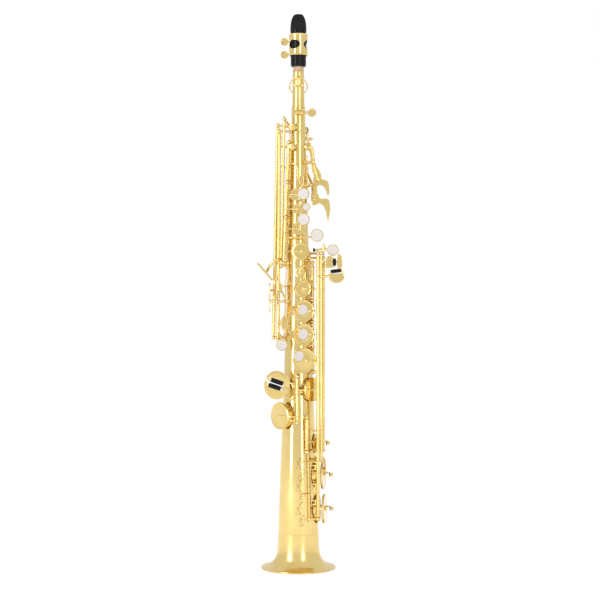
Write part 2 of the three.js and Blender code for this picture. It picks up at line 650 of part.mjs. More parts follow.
function lowKeys() {
  const { b_flat: flat, low_b: b, c_sharp_lever: lever, c_sharp: sharp } = LINES;
  const { low_b: bHole, b_flat: flatHole, c_sharp: sharpHole } = HOLES;
  const flatGroup = turnedGroup(flat, -OPEN.b_flat);
  addNode('low_b_flat_key', union([
    hingeTube(flat, 66.9, 387.6, 2.2),
    cup(flatHole),
    wire([
      onLine(flat, 76), [32.6, -18.6, 75], cupTop(flatHole, 0, -12, 1.6), cupTop(flatHole, 0, 0, 0.6),
    ], 1.3, 6),
    asClosed(flat, -OPEN.b_flat, union([
      wire([onLine(flat, 362), [29, -23.8, 362], [38, -23.4, 362]], 1.2, 5),
      frontPlate([[37, 365], [54.2, 365.8], [57, 364], ...arc(46.9, 362, 10, 8.4, 0, -180, 8)], TOUCH_BACK),
      ...rollerMount(ROLLERS.b_flat_roller),
      rod([38.6, -22.8, 364], [38.6, -23.2, 367.6], 1.0, 6),
      rod([53.9, -22.8, 364], [53.9, -23.2, 369.4], 1.0, 6),
    ])),
  ]), 'lacquer', flatGroup);
  addNode('b_flat_roller', roller(ROLLERS.b_flat_roller), 'roller');

  const bGroup = turnedGroup(b, -OPEN.low_b);
  addNode('low_b_key', union([
    hingeTube(b, 138.9, 387.4, 1.7),
    cup(bHole),
    wire([
      onLine(b, 141), [34, -18, 140], [35.4, -9, 132], cupTop(bHole, 8, 0, 1.4), cupTop(bHole, 0, 0, 0.6),
    ], 1.3, 8),
    asClosed(b, -OPEN.low_b, union([
      wire([onLine(b, 380), [32, -19.8, 380], [45, -19.6, 380], [50, -22.8, 380]], 1.1, 7),
      frontPlate([[48, 372.6], [53.4, 372.6], [54.2, 380], [52.6, 388.4], [48.2, 388.8]], TOUCH_BACK),
    ])),
  ]), 'lacquer', bGroup);

  const sharpRoller = ROLLERS.c_sharp_roller;
  addNode('low_c_sharp_lever', cut(union([
    hingeTube(lever, 150.4, 381.6, 1.7),
    wire([onLine(lever, 172), [26, -16.7, 172], [19, -16.9, 172]], 1, 3),
    wire([onLine(lever, 376), [33, -20, 376], [36, -23.2, 376]], 1.1, 4),
    frontPlate([[33.2, 372.6], [41.6, 372.6], [41.6, 387], [36, 387.4], [33.6, 383]], TOUCH_BACK - 1.4),
    ...rollerMount(sharpRoller),
    rod([41, -24.6, 374.2], [44.2, -25, 374.2], 1.0, 6),
    rod([41, -24.6, 384.4], [44.2, -25, 384.4], 1.0, 6),
  ]), [hingeBore(lever, 380, 381.6)]), 'lacquer');
  addNode('c_sharp_roller', roller(sharpRoller), 'roller');

  addNode('low_c_sharp_key', union([
    hingeTube(sharp, 149.4, 186),
    cup(sharpHole),
    wire([onLine(sharp, 158), [18.6, -18.6, 158], [25.6, -11.8, 157]], 1.3, 5),
    wire([onLine(sharp, 178), [15.4, -22.4, 175], [19.2, -19.9, 172.4]], 1.1, 4),
  ]), 'lacquer');
}

function pinkyKeys() {
  const line = LINES.pinky;
  const { c, e_flat: flat } = HOLES;
  const tilt = Math.tan(THREE.MathUtils.degToRad(19));
  // The two touches are halves of one oval, parted along the gap between the rollers.
  const cutLine = (x, shift) => 230 - (x + 27) * tilt + shift;
  const oval = arc(-26.6, 228.6, 15.6, 17.6, 0, 360, 20).slice(0, -1);
  const longPocket = ({ ends }) => {
    const [a, b] = ends.map(vec);
    const along = b.clone().sub(a).normalize();
    return rod(a.addScaledVector(along, -GAP), b.addScaledVector(along, GAP), ROLLER + 0.4, 12);
  };
  const halfPlate = (above, back) => {
    const keep = above
      ? [[-46, cutLine(-46, 0.4)], [-8, cutLine(-8, 0.4)], [-8, 252], [-46, 252]]
      : [[-46, cutLine(-46, -0.4)], [-46, 205], [-8, 205], [-8, cutLine(-8, -0.4)]];
    return frontPlate(oval, back).intersect(frontPlate(keep.reverse(), back + 1, PLATE + 2));
  };
  const touchBack = -26.6;
  boredKey('low_e_flat_key', 'pinky', [217, 236], [
    cup(flat),
    wire([onLine(line, 222.6), [6, -26.4, 222.6], cupTop(flat, 0, -9, 0.8), cupTop(flat, 0, 0, 0.5)], ARM, 6),
    wire([onLine(line, 229.7), [-9, -27.6, 231], [-15, -27, 233]], ARM, 4),
    cut(halfPlate(true, touchBack), [longPocket(ROLLERS.e_flat_roller)]),
    ...rollerMount(ROLLERS.e_flat_roller),
  ]);
  addNode('e_flat_roller', roller(ROLLERS.e_flat_roller), 'roller');
  const group = turnedGroup(line, OPEN.c);
  boredKey('low_c_key', 'pinky', [185.4, 216.5], [
    cup(c),
    wire([onLine(line, 190), [-8, -28.4, 190], cupTop(c, 0, 8, 0.8), cupTop(c, 0, 0, 0.5)], ARM, 7),
    asClosed(line, OPEN.c, union([
      wire([onLine(line, 211.3), [-9, -28.2, 211.6], [-18, -27.4, 217.6]], ARM, 5),
      cut(halfPlate(false, touchBack), [longPocket(ROLLERS.c_roller)]),
      ...rollerMount(ROLLERS.c_roller),
    ])),
  ], group);
  addNode('c_roller', roller(ROLLERS.c_roller), 'roller');
}

function gSharpLever() {
  const line = LINES.c_sharp_lever;
  addNode('g_sharp_lever', cut(union([
    hingeTube(line, 393.4, 400.6),
    pearlHolder(PEARLS.g_sharp),
    wire([onLine(line, 396.4), [36, -18.4, 395.4], [42, -18.7, 394.5]], ARM, 3),
    wire([onLine(line, 396.4), [26, -15.4, 395.4], [20.6, -16, 394.6]], ARM, 3),
    rod([18.6, -16, 394.6], [20.8, -16, 394.6], 2.2, 8),
  ]), [hingeBore(line, 393.4, 400.6)]), 'lacquer');
}

// ---------------------------------------------------------------- back of the instrument
function octaveLever() {
  const { depth, height, half } = OCTAVE;
  return union([
    rod([-half, depth, height], [half, depth, height], HINGE_TUBE, 8),
    wire([[0, depth + 0.6, height], [0, 18.6, 461], [0, 18.4, 454]], 1.5, 4),
    rod([0, 17.4, 453], [0, 19.4, 453], 6.4, 14),
    wire([[0, depth + 0.6, height], [-4, 17.6, 480], [-8, 15.4, 490]], 1.2, 4),
  ]);
}

function palmFKey() {
  const hole = HOLES.palm_f;
  return union([
    rod(palmFPoint(-PALM_F.half), palmFPoint(PALM_F.half), 1.9, 8),
    cup(hole),
    wire([
      cupTop(hole, 0, 0, 0.5), polar(136, 16.2, 540), palmFPoint(0), [17, 13.6, 512], [21.5, 11.2, 494],
    ], 1.3, 8),
    frontPlate([[19, 500], [24.4, 498], [28.6, 489], [28.4, 478.6], [24.6, 484], [18.4, 492]], 12.4, 2.2),
  ]);
}

function thumbRest() {
  const height = 437;
  const seat = tubeRadius(height) + 2 * GAP;
  return rod([0, seat, height], [0, seat + 4, height], 7.4, 16, 6.6);
}

function strapRing() {
  const height = 385;
  const seat = tubeRadius(height) + 2 * GAP;
  const ring = new THREE.TorusGeometry(4.6, 1.2, 6, 14);
  ring.rotateY(Math.PI / 2);
  ring.translate(0, seat + 6.4, height);
  return union([solid(ring), box([-2.2, seat, height - 7], [2.2, seat + 1.4, height + 7])]);
}

// A hook of strip metal over the right thumb: a foot, a leg and a curved finger rest.
function thumbHook() {
  const height = 300;
  const seat = tubeRadius(height) + 3 * GAP;
  const outline = new THREE.Shape();
  const near = seat + 1.6;
  outline.moveTo(-6, seat);
  outline.lineTo(6, seat);
  outline.lineTo(6, near);
  outline.lineTo(-1.4, near);
  outline.lineTo(-1.4, near + 7);
  outline.quadraticCurveTo(-1, near + 12, 8, near + 13);
  outline.lineTo(14, near + 11.4);
  outline.lineTo(14, near + 13.2);
  outline.lineTo(8, near + 15);
  outline.quadraticCurveTo(-3.6, near + 14.4, -3.4, near + 6);
  outline.lineTo(-3.4, near);
  outline.lineTo(-6, near);
  outline.closePath();
  const geometry = new THREE.ExtrudeGeometry(outline, { depth: 13, bevelEnabled: false, curveSegments: 5 });
  geometry.translate(0, 0, height - 6.5);
  return solid(geometry);
}

// A guard behind the low keys, whose fingers reach over the cups and carry the bumper screws.
function lowKeyGuard() {
  const az = 148;
  const fingers = [[73.5, 38.8], [115.7, 38.2], [155, 34.4]].flatMap(([z, start]) => {
    const reach = start + 2.4;
    const root = polar(az, tubeRadius(z) + 1.6, z);
    return [
      wire([root, [24, 28, z], [36, 21, z], [reach, 9, z], [reach, 0.5, z]], 1.2, 9),
      rod([start, 0, z], [start + 4, 0, z], 2.4, 8),
    ];
  });
  return union([strip(az, 66, 162), ...fingers]);
}

// ---------------------------------------------------------------- neck
const NECK = {
  tenonBottom: 553,
  shoulder: BODY_TOP + GAP,      // underside of the collar that rests on the receiver
  radius: 7.2,
  ferrule: 609.5,                // lower edge of the band below the cork
  corkBottom: 617.4,
  corkTop: 643,
  corkCore: 5.0,                 // tube under the cork
  hinge: [0, -10.2, 599],        // hinge of the neck's octave key, across the front
};

function neckTube() {
  const { tenonBottom, shoulder, radius, ferrule, corkBottom, corkCore, hinge } = NECK;
  const shell = lathe([[0, tenonBottom], [TENON_RADIUS, tenonBottom], [TENON_RADIUS, shoulder],
    [8.1, shoulder], [8.1, shoulder + 2.2], [radius + 0.2, shoulder + 3.2], [radius - 0.2, ferrule],
    [radius - 0.1, ferrule + 0.6], [radius - 0.1, corkBottom - GAP], [corkCore, corkBottom - GAP],
    [corkCore, NECK_TOP], [0, NECK_TOP]], 20);
  const bore = lathe([[0, tenonBottom - 1], [5.7, tenonBottom - 1], [4.9, corkBottom], [4.0, NECK_TOP + 1],
    [0, NECK_TOP + 1]], 20);
  const pip = rod([0, -5.4, 608], [0, -8.9, 608], 1.7, 8);
  const vent = rod([0, -3, 608], [0, -9.4, 608], 0.8, 6);
  const saddles = [-1, 1].flatMap((side) => [
    rod([side * 4.4, -4.6, hinge[2]], [side * 4.4, hinge[1], hinge[2]], 1.2, 6),
    ball([side * 4.4, hinge[1], hinge[2]], 1.7),
  ]);
  return cut(union([shell, pip, ...saddles]), [bore, vent]);
}

function neckCork() {
  const { corkBottom, corkTop, corkCore } = NECK;
  const bore = corkCore + GAP;
  return lathe([[bore, corkBottom], [6.7, corkBottom], [6.8, corkTop - 1.5], [6.2, corkTop], [bore, corkTop],
    [bore, corkBottom]], 20);
}

function neckOctaveKey() {
  const [, y, z] = NECK.hinge;
  const left = [
    [-0.8, y - 1, 606.6], [-4.8, -10.2, 607.4], [-9.8, -5.4, 602.6], [-11.2, 0, 597], [-8.2, 8, 592.8],
  ];
  const right = left.map(([px, py, pz]) => [-px, py, pz]).reverse();
  const loop = [...left, [0, 11.2, 591.6], ...right];
  return union([
    rod([-2.3, y, z], [2.3, y, z], 1.6, 8),
    wire(loop, 0.9, 18),
    wire([[0, y - 0.4, z], [0, y - 1.2, 604], [0, y - 0.8, 608]], 1.1, 3),
    rod([0, -9.2, 608], [0, -11.6, 608], 2.8, 10),
  ]);
}

// Thumb screws: a round stem along X and a flat round head whose faces look to the front.
function thumbScrew(tipX, headX, y, z, stemRadius, headRadius) {
  const side = Math.sign(headX - tipX);
  return union([
    rod([tipX, y, z], [headX - side * headRadius * 0.8, y, z], stemRadius, 8),
    rod([headX, y + 1, z], [headX, y - 1, z], headRadius, 14),
  ]);
}

// ---------------------------------------------------------------- mouthpiece
const TABLE = 6.6;               // distance of the flat table from the axis, on the back
const REED_TIP = 689;
const LIGATURE = { bottom: 636.7, top: 663.3, inside: 10.7, lug: 13.6, screws: [640.3, 656.5] };

// The outline of the mouthpiece from the front, which the reed follows at the tip.
function beakOutline(halfWidth) {
  const side = [
    [halfWidth, MOUTHPIECE_BOTTOM - 1], [halfWidth, 669], [halfWidth - 1.4, 680],
    [halfWidth - 2.7, 686], [halfWidth - 4.3, 688.8], [halfWidth - 7, MOUTHPIECE_TOP],
  ].filter(([x]) => x > 0);
  return [...side, ...side.map(([x, z]) => [-x, z]).reverse()];
}

// An outline in Y and Z, extruded along X.
function sidePlate(outline, from, to) {
  const shape = new THREE.Shape(outline.map(([y, z]) => new THREE.Vector2(y, z)));
  const geometry = new THREE.ExtrudeGeometry(shape, { depth: to - from, bevelEnabled: false });
  geometry.rotateY(Math.PI / 2);
  geometry.rotateX(Math.PI / 2);
  geometry.translate(from, 0, 0);
  return solid(geometry);
}

function mouthpiece() {
  const turned = lathe([[0, MOUTHPIECE_BOTTOM], [8.4, MOUTHPIECE_BOTTOM], [9.3, 625], [9.3, 664],
    [9.9, 667], [9.9, MOUTHPIECE_TOP], [0, MOUTHPIECE_TOP]], 24);
  const outside = turned.intersect(frontPlate(beakOutline(9.9), 14, 28));
  const socket = lathe([[0, MOUTHPIECE_BOTTOM - 1], [7.1, MOUTHPIECE_BOTTOM - 1], [7.1, 647], [4.4, 650],
    [4.4, 668], [0, 668]], 16);
  const wedge = sidePlate([[-14, 668], [-9.6, 668], [5.9, 690.4], [5.9, 694], [-14, 694]], -15, 15);
  const table = box([-12, TABLE, 634], [12, 14, 694]);
  const window = box([-4.6, 0.5, 664], [4.6, TABLE + 1, 680]);
  return cut(outside, [socket, wedge, table, window]);
}

function reed() {
  const profile = [[TABLE + GAP, 638.5], [TABLE + 2.3, 638.5], [TABLE + 2.3, 664], [TABLE + 1.2, 676],
    [TABLE + GAP + 0.3, REED_TIP], [TABLE + GAP, REED_TIP]];
  return sidePlate(profile, -5.6, 5.6).intersect(frontPlate(beakOutline(9), 14, 28));
}

function ligature() {
  const { bottom, top, inside, lug, screws } = LIGATURE;
  const band = lathe([
    [inside, bottom], [inside + 1.3, bottom], [inside + 1.3, bottom + 0.8], [inside + 0.8, bottom + 1],
    [inside + 0.6, top], [inside, top], [inside, bottom],
  ], 20);
  const middle = (bottom + top) / 2;
  const windows = [-31, 77].map((az) => rod(polar(az, 6, middle), polar(az, 16, middle), 5.8, 10));
  const lugs = screws.map((z) => rod([-6, lug, z], [6, lug, z], 2.5, 8));
  const bores = screws.map((z) => rod([-8, lug, z], [8, lug, z], 1.7, 8));
  const slit = box([-0.8, 8, bottom - 1], [0.8, 18, top + 1]);
  const hollow = rod([0, 0, bottom - 1], [0, 0, top + 1], inside, 20);
  return cut(union([band, ...lugs]), [hollow, ...windows, ...bores, slit]);
}

// ---------------------------------------------------------------- assembly
function buildBody() {
  addNode('body_tube', bodyTube().add(singlePosts()), 'lacquer');
  addNode('bell', bell(), 'lacquer');
  addNode('upper_stack_rib', upperStackRib(), 'lacquer');
  addNode('lower_stack_rib', lowerStackRib(), 'lacquer');
  addNode('side_key_rib', sideKeyRib(), 'lacquer');
  addNode('palm_key_rib', palmKeyRib(), 'lacquer');
  addNode('low_key_guard', lowKeyGuard(), 'lacquer');
  addNode('thumb_rest', thumbRest(), 'lacquer');
  addNode('thumb_hook', thumbHook(), 'lacquer');
  addNode('strap_ring', strapRing(), 'lacquer');
  addNode('neck_screw', thumbScrew(-3.6, 17, -12, 564.6, 1.4, 5.2), 'lacquer');
}

function buildNeck() {
  addNode('neck_tube', neckTube(), 'lacquer');
  addNode('neck_cork', neckCork(), 'cork');
  addNode('neck_octave_key', neckOctaveKey(), 'lacquer');
  addNode('mouthpiece', mouthpiece(), 'ebonite');
  addNode('reed', reed(), 'cane');
  addNode('ligature', ligature(), 'lacquer');
  const [lower, upper] = LIGATURE.screws;
  addNode('ligature_screw_lower', thumbScrew(5.6, -17.4, LIGATURE.lug, lower, 1.3, 4.8), 'lacquer');
  addNode('ligature_screw_upper', thumbScrew(5.6, -17.4, LIGATURE.lug, upper, 1.3, 4.8), 'lacquer');
}

buildBody();
buildNeck();
stackKeys();
upperKeys();
palmKeys();
sideKeys();
lowKeys();
pinkyKeys();
gSharpLever();
addNode('octave_thumb_lever', octaveLever(), 'lacquer');
addNode('palm_f_key', palmFKey(), 'lacquer');
addNode('trill_pearl', pearlDisc(PEARLS.trill), 'pearl');
addNode('g_sharp_pearl', pearlDisc(PEARLS.g_sharp), 'pearl');

export default saxophone;
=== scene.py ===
"""Soprano saxophone: the visible model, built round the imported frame. Sizes in millimetres are
turned into metres where a mesh is made. +Z runs up the tube and -Y is the front."""
import math

import bmesh
import bpy
import numpy as np
from mathutils import Matrix, Vector


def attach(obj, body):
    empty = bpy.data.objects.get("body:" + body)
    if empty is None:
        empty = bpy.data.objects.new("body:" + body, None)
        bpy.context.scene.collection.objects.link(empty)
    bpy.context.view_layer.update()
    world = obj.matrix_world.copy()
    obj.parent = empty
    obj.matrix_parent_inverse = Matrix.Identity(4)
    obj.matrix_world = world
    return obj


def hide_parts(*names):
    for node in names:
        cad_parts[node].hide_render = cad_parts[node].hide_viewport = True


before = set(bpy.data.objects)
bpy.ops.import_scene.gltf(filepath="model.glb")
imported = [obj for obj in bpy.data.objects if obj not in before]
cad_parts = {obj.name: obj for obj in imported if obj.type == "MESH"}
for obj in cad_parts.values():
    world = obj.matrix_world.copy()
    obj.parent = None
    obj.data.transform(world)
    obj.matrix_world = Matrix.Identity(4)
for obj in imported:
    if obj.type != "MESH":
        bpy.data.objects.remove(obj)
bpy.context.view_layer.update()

# ------------------------------------------------------------------ driving dimensions
MM = 0.001
WALL = 1.0                       # tube wall
CHIMNEY_HEIGHT = 3.0             # tone hole chimneys above the tube
CHIMNEY_WALL = 0.8
GAP = 0.3                        # between a rim and a closed key, and between fitted pieces
CUP_THICKNESS = 3.0              # key cup with its pad
PAD = 1.1                        # the part of it that is leather
HINGE_TUBE = 2.1                 # outer radius of a hinge tube
HINGE_ROD = 1.1
POST_BALL = 2.6
LOW_ROLLER = 2.9                 # radius of the rollers of the E flat and C keys
LOW_LUG = 2.7                    # and of the lugs that hold them
TUBE_AXIS = ((0, 0, 0), (0, 0, 1))
FACING = ((1, 0, 0), (0, 0, 1))  # the plane of a plate that faces the front or the back
SIDEWAYS = ((0, 1, 0), (0, 0, 1))
ARM = 1.1
HOLDER = 1.5                     # brass seat of a pearl
PLATE = 1.6
SHARP = math.radians(32)

BODY_CURVE = [(44, 25.3), (109, 23.2), (171, 20.6), (258, 17.4), (345, 14.2), (420, 12.1), (551, 8.4)]

# Tone holes: height, degrees round the tube from the front towards +X, hole radius, cup radius.
HOLES = {
    "high_e": (547, -30, 2.6, 4.4), "octave": (522.5, -32, 1.6, 4.4),
    "side_c": (524, -125, 3.4, 5.0), "side_b_flat": (498, -135, 3.8, 5.4),
    "palm_f": (545, 135, 3.0, 4.6), "palm_e_flat": (523.5, 90, 3.6, 5.4),
    "palm_d": (497, 150, 4.0, 5.6), "b": (463, -6.6, 5.6, 8.0),
    "bis": (445, -2, 4.6, 6.6), "a": (420.8, 7.1, 6.4, 9.0),
    "g": (392.8, 12, 7.8, 10.9), "g_sharp": (367, 5, 4.8, 7.0),
    "f_sharp": (346.7, 14.3, 7.6, 10.3), "trill": (304, -118, 4.8, 7.2),
    "f": (319.6, 16, 10.4, 13.7), "e": (290.3, 16, 10.4, 13.7),
    "d": (258.4, 16.3, 9.8, 15.6), "e_flat": (222.6, 48, 12.0, 15.0),
    "c": (190, -58, 13.6, 17.0), "c_sharp": (155, 90, 9.6, 12.5),
    "low_b": (115.7, 90, 14.6, 18.6), "b_flat": (73.5, 90, 15.0, 18.7),
}

# Hinge lines, lower end and upper end.
LINES = {
    "upper_stack": ((-18.2, -9.6, 376), (-11.8, -9.4, 530)),
    "lower_stack": ((17.6, -12.8, 240), (17.6, -9.0, 381)),
    "side_c": ((-31.0, 3, 289), (-25.8, 3, 548)),
    "side_b_flat": ((-25.0, -3, 333), (-23.6, -3, 540)),
    "trill": ((-25.2, -4, 286), (-25.0, -4, 329)),
    "high_e": ((-21.4, -5.4, 373), (-17.5, -6.5, 558)),
    "b_flat": ((24.2, -22, 64), (24.2, -19, 390)),
    "low_b": ((28.4, -20.3, 136), (28.4, -17.95, 390)),
    "c_sharp_lever": ((31.2, -17, 148), (31.2, -14.8, 385)),
    "c_sharp": ((10.5, -24.9, 148), (10.5, -24.2, 190)),
    "pinky": ((-1.5, -25.6, 184), (-1.5, -24.2, 238)),
}
LOW_RIB_AZ = 31                  # the front rib that carries the low saddles
ARM_BULGE = Vector((2.0, -4.2, 0))    # stands a lower arm off its hinge, clear of the rim

# How far the keys that rest open stand open, in degrees.
OPEN_STACK = 7
OPEN_C = 8
OPEN_B = 9
OPEN_B_FLAT = 8


# ------------------------------------------------------------------ small geometry
def vec(p):
    return Vector(p)


def radius_at(z):
    """Outer radius of the body tube at a height."""
    heights, radii = zip(*BODY_CURVE)
    return float(np.interp(z, heights, radii))


def outward(az):
    return Vector((math.sin(math.radians(az)), -math.cos(math.radians(az)), 0))


def around(az):
    return Vector((math.cos(math.radians(az)), math.sin(math.radians(az)), 0))


def polar(az, r, z):
    return outward(az) * r + Vector((0, 0, z))


def on_line(line, z):
    low, high = (vec(p) for p in LINES[line])
    return low.lerp(high, (z - low.z) / (high.z - low.z))


def cup_top(hole, up=0, side=0, lift=0):
    z, az = HOLES[hole][:2]
    height = radius_at(z) + CHIMNEY_HEIGHT + GAP + CUP_THICKNESS + lift
    return polar(az, height, z + up) + around(az) * side


def turn_matrix(line, degrees):
    """Rotation about a hinge line."""
    low, high = (vec(p) for p in LINES[line])
    turn = Matrix.Rotation(math.radians(degrees), 4, (high - low).normalized())
    return Matrix.Translation(low) @ turn @ Matrix.Translation(-low)


def smooth_path(points, per=8):
    """Points on a smooth curve through the given ones."""
    pts = [vec(p) for p in points]
    if len(pts) == 2:
        return pts
    ends = [pts[0] * 2 - pts[1]] + pts + [pts[-1] * 2 - pts[-2]]
    out = []
    for i in range(1, len(ends) - 2):
        a, b, c, d = ends[i - 1:i + 3]
        for k in range(per):
            t = k / per
            out.append(0.5 * ((2 * b) + (c - a) * t + (2 * a - 5 * b + 4 * c - d) * t * t
                              + (3 * b - a - 3 * c + d) * t ** 3))
    out.append(pts[-1])
    return out


def smooth_loop(points, per=6):
    """A closed outline smoothed through its points."""
    n = len(points)
    out = []
    for i in range(n):
        a, b, c, d = (np.array(points[(i + k) % n], float) for k in (-1, 0, 1, 2))
        for k in range(per):
            t = k / per
            out.append(tuple(0.5 * ((2 * b) + (c - a) * t + (2 * a - 5 * b + 4 * c - d) * t * t
                                    + (3 * b - a - 3 * c + d) * t ** 3)))
    return out


def ellipse(cx, cz, rx, rz, start=0, end=360, count=40):
    angles = np.radians(np.linspace(start, end, count, endpoint=abs(end - start) < 360))
    return [(cx + rx * math.cos(a), cz + rz * math.sin(a)) for a in angles]


class Shape:
    """Vertices and faces in millimetres, each face with its material's number."""

    def __init__(self):
        self.verts = []
        self.faces = []
        self.marks = []

    def add(self, verts, faces, mark="brass"):
        base = len(self.verts)
        self.verts += [vec(v) for v in verts]
        self.faces += [[base + i for i in face] for face in faces]
        self.marks += [mark] * len(faces)
        return self

    def merge(self, other, matrix=None):
        base = len(self.verts)
        self.verts += [matrix @ v if matrix else v for v in other.verts]
        self.faces += [[base + i for i in face] for face in other.faces]
        self.marks += other.marks
        return self

    def spin(self, origin, axis, profile, mark="brass", segments=24, closed=False):
        """Turns (radius, height) pairs round an axis from an origin."""
        axis = vec(axis).normalized()
        side = axis.orthogonal().normalized()
        other = axis.cross(side)
        verts, rows = [], []
        for r, h in profile:
            centre = vec(origin) + axis * h
            if r <= 1e-6:
                rows.append([len(verts)])
                verts.append(centre)
                continue
            rows.append(list(range(len(verts), len(verts) + segments)))
            for i in range(segments):
                a = 2 * math.pi * i / segments
                verts.append(centre + (side * math.cos(a) + other * math.sin(a)) * r)
        pairs = list(zip(rows, rows[1:])) + ([(rows[-1], rows[0])] if closed else [])
        faces = []
        for low, high in pairs:
            for i in range(segments):
                j = (i + 1) % segments
                if len(low) == 1 and len(high) == 1:
                    continue
                if len(low) == 1:
                    faces.append([low[0], high[j], high[i]])
                elif len(high) == 1:
                    faces.append([low[i], low[j], high[0]])
                else:
                    faces.append([low[i], low[j], high[j], high[i]])
        return self.add(verts, faces, mark)

    def rod(self, a, b, radius, mark="brass", segments=20, ease=0.25, end_radius=None):
        a, b = vec(a), vec(b)
        length = (b - a).length
        last = radius if end_radius is None else end_radius
        ease = min(ease, radius * 0.6, last * 0.6, length * 0.3)
        profile = [(0, 0), (radius - ease, 0), (radius - ease * 0.3, ease * 0.3), (radius, ease),
                   (last, length - ease), (last - ease * 0.3, length - ease * 0.3),
                   (last - ease, length), (0, length)]
        return self.spin(a, b - a, profile, mark, segments)

    def ball(self, centre, radius, mark="brass", segments=20):
        steps = 10
        profile = [(radius * math.sin(math.pi * i / steps), -radius * math.cos(math.pi * i / steps))
                   for i in range(steps + 1)]
        return self.spin(centre, (0, 0, 1), profile, mark, segments)

    def wire(self, points, radius, mark="brass", segments=12, end_scale=1.0, per=8):
        """A round bar along a smooth path, with rounded ends."""
        path = smooth_path(points, per)
        tangents = []
        for i in range(len(path)):
            ahead = path[min(i + 1, len(path) - 1)]
            tangents.append((ahead - path[max(i - 1, 0)]).normalized())
        side = tangents[0].orthogonal().normalized()
        rings = []
        for i, (point, tangent) in enumerate(zip(path, tangents)):
            side = (side - tangent * side.dot(tangent)).normalized()
            t = i / (len(path) - 1)
            rings.append((point, tangent, side.copy(), radius * (1 + (end_scale - 1) * t)))
        first, last = rings[0], rings[-1]
        caps_low = [(first[0] - first[1] * first[3] * s, first[1], first[2], first[3] * c)
                    for s, c in ((0.9, 0.35), (0.6, 0.75))]
        caps_high = [(last[0] + last[1] * last[3] * s, last[1], last[2], last[3] * c)
                     for s, c in ((0.6, 0.75), (0.9, 0.35))]
        verts = []
        for point, tangent, s, r in caps_low + rings + caps_high:
            up = tangent.cross(s)
            for k in range(segments):
                a = 2 * math.pi * k / segments
                verts.append(point + s * (math.cos(a) * r) + up * (math.sin(a) * r))
        count = len(verts) // segments
        faces = [list(range(segments))[::-1], list(range((count - 1) * segments, count * segments))]
        for row in range(count - 1):
            for k in range(segments):
                j = (k + 1) % segments
                faces.append([row * segments + k, row * segments + j,
                              (row + 1) * segments + j, (row + 1) * segments + k])
        return self.add(verts, faces, mark)

    def plate(self, outline, origin, ex, ey, thickness, mark="brass", ease=0.45):
        """An outline in the plane of ex and ey, thickened towards ex x ey, with eased edges."""
        ex, ey = vec(ex).normalized(), vec(ey).normalized()
        ez = ex.cross(ey)
        flat = np.array(outline, float)
        area = 0.5 * np.sum(flat[:, 0] * np.roll(flat[:, 1], -1) - np.roll(flat[:, 0], -1) * flat[:, 1])
        if area < 0:
            flat = flat[::-1]
        edge = np.roll(flat, -1, axis=0) - np.roll(flat, 1, axis=0)
        edge /= np.maximum(np.linalg.norm(edge, axis=1, keepdims=True), 1e-9)
        inside = np.stack([-edge[:, 1], edge[:, 0]], axis=1)
        n = len(flat)
        levels = [(ease, 0), (ease * 0.3, ease * 0.3), (0, ease), (0, thickness - ease),
                  (ease * 0.3, thickness - ease * 0.3), (ease, thickness)]
        verts = []
        for shrink, height in levels:
            for x, y in flat + inside * shrink:
                verts.append(vec(origin) + ex * float(x) + ey * float(y) + ez * height)
        faces = [list(range(n))[::-1], list(range(5 * n, 6 * n))]
        for row in range(5):
            for k in range(n):
                j = (k + 1) % n
                faces.append([row * n + k, row * n + j, (row + 1) * n + j, (row + 1) * n + k])
        return self.add(verts, faces, mark)

    def front_plate(self, outline, back, thickness=PLATE, mark="brass", smooth=0, ease=0.45):
        """A plate that faces the front, its outline in X and Z and its back at a depth."""
        points = smooth_loop(outline, smooth) if smooth else outline
        return self.plate(points, (0, back, 0), *FACING, thickness, mark, ease)


MATERIALS = {}


def finish_mesh(name, shape, body, nodes=None, cutters=(), keep=(), bevel=0):
    """Makes the object, with smooth faces and sharp edges where faces meet at an angle."""
    used = sorted(set(shape.marks))
    mesh = bpy.data.meshes.new(name)
    mesh.from_pydata([tuple(v * MM) for v in shape.verts], [], shape.faces)
    for mark in used:
        mesh.materials.append(MATERIALS[mark])
    mesh.polygons.foreach_set("material_index", [used.index(mark) for mark in shape.marks])
    obj = bpy.data.objects.new(name, mesh)
    bpy.context.scene.collection.objects.link(obj)
    tidy_mesh(mesh)
    for operation, tools in (("INTERSECT", keep), ("DIFFERENCE", cutters)):
        for tool in tools:
            carve(obj, tool, operation)
    if bevel:
        apply_bevel(obj, bevel)
    tidy_mesh(obj.data)
    modifier = obj.modifiers.new("flat_faces", "WEIGHTED_NORMAL")
    modifier.keep_sharp = True
    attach(obj, body)
    nodes = [name] if nodes is None else nodes
    if nodes:
        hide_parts(*nodes)
    return obj


def tidy_mesh(mesh):
    work = bmesh.new()
    work.from_mesh(mesh)
    bmesh.ops.remove_doubles(work, verts=work.verts, dist=1e-7)
    bmesh.ops.recalc_face_normals(work, faces=work.faces)
    for face in work.faces:
        face.smooth = True
    for edge in work.edges:
        edge.smooth = len(edge.link_faces) != 2 or edge.calc_face_angle(0) < SHARP
    caps = [face for face in work.faces if len(face.verts) > 4]
    bmesh.ops.triangulate(work, faces=caps)
    work.to_mesh(mesh)
    work.free()


def bake_modifiers(obj):
    graph = bpy.context.evaluated_depsgraph_get()
    obj.data = bpy.data.meshes.new_from_object(obj.evaluated_get(graph))
    obj.modifiers.clear()


def carve(obj, shape, operation="DIFFERENCE"):
    """Cuts a shape out of an object, or keeps only what is in it."""
    mesh = bpy.data.meshes.new("tool")
    mesh.from_pydata([tuple(v * MM) for v in shape.verts], [], shape.faces)
    tidy_mesh(mesh)
    tool = bpy.data.objects.new("tool", mesh)
    bpy.context.scene.collection.objects.link(tool)
    modifier = obj.modifiers.new("cut", "BOOLEAN")
    modifier.operation = operation
    modifier.solver = "EXACT"
    modifier.object = tool
    bake_modifiers(obj)
    bpy.data.objects.remove(tool)


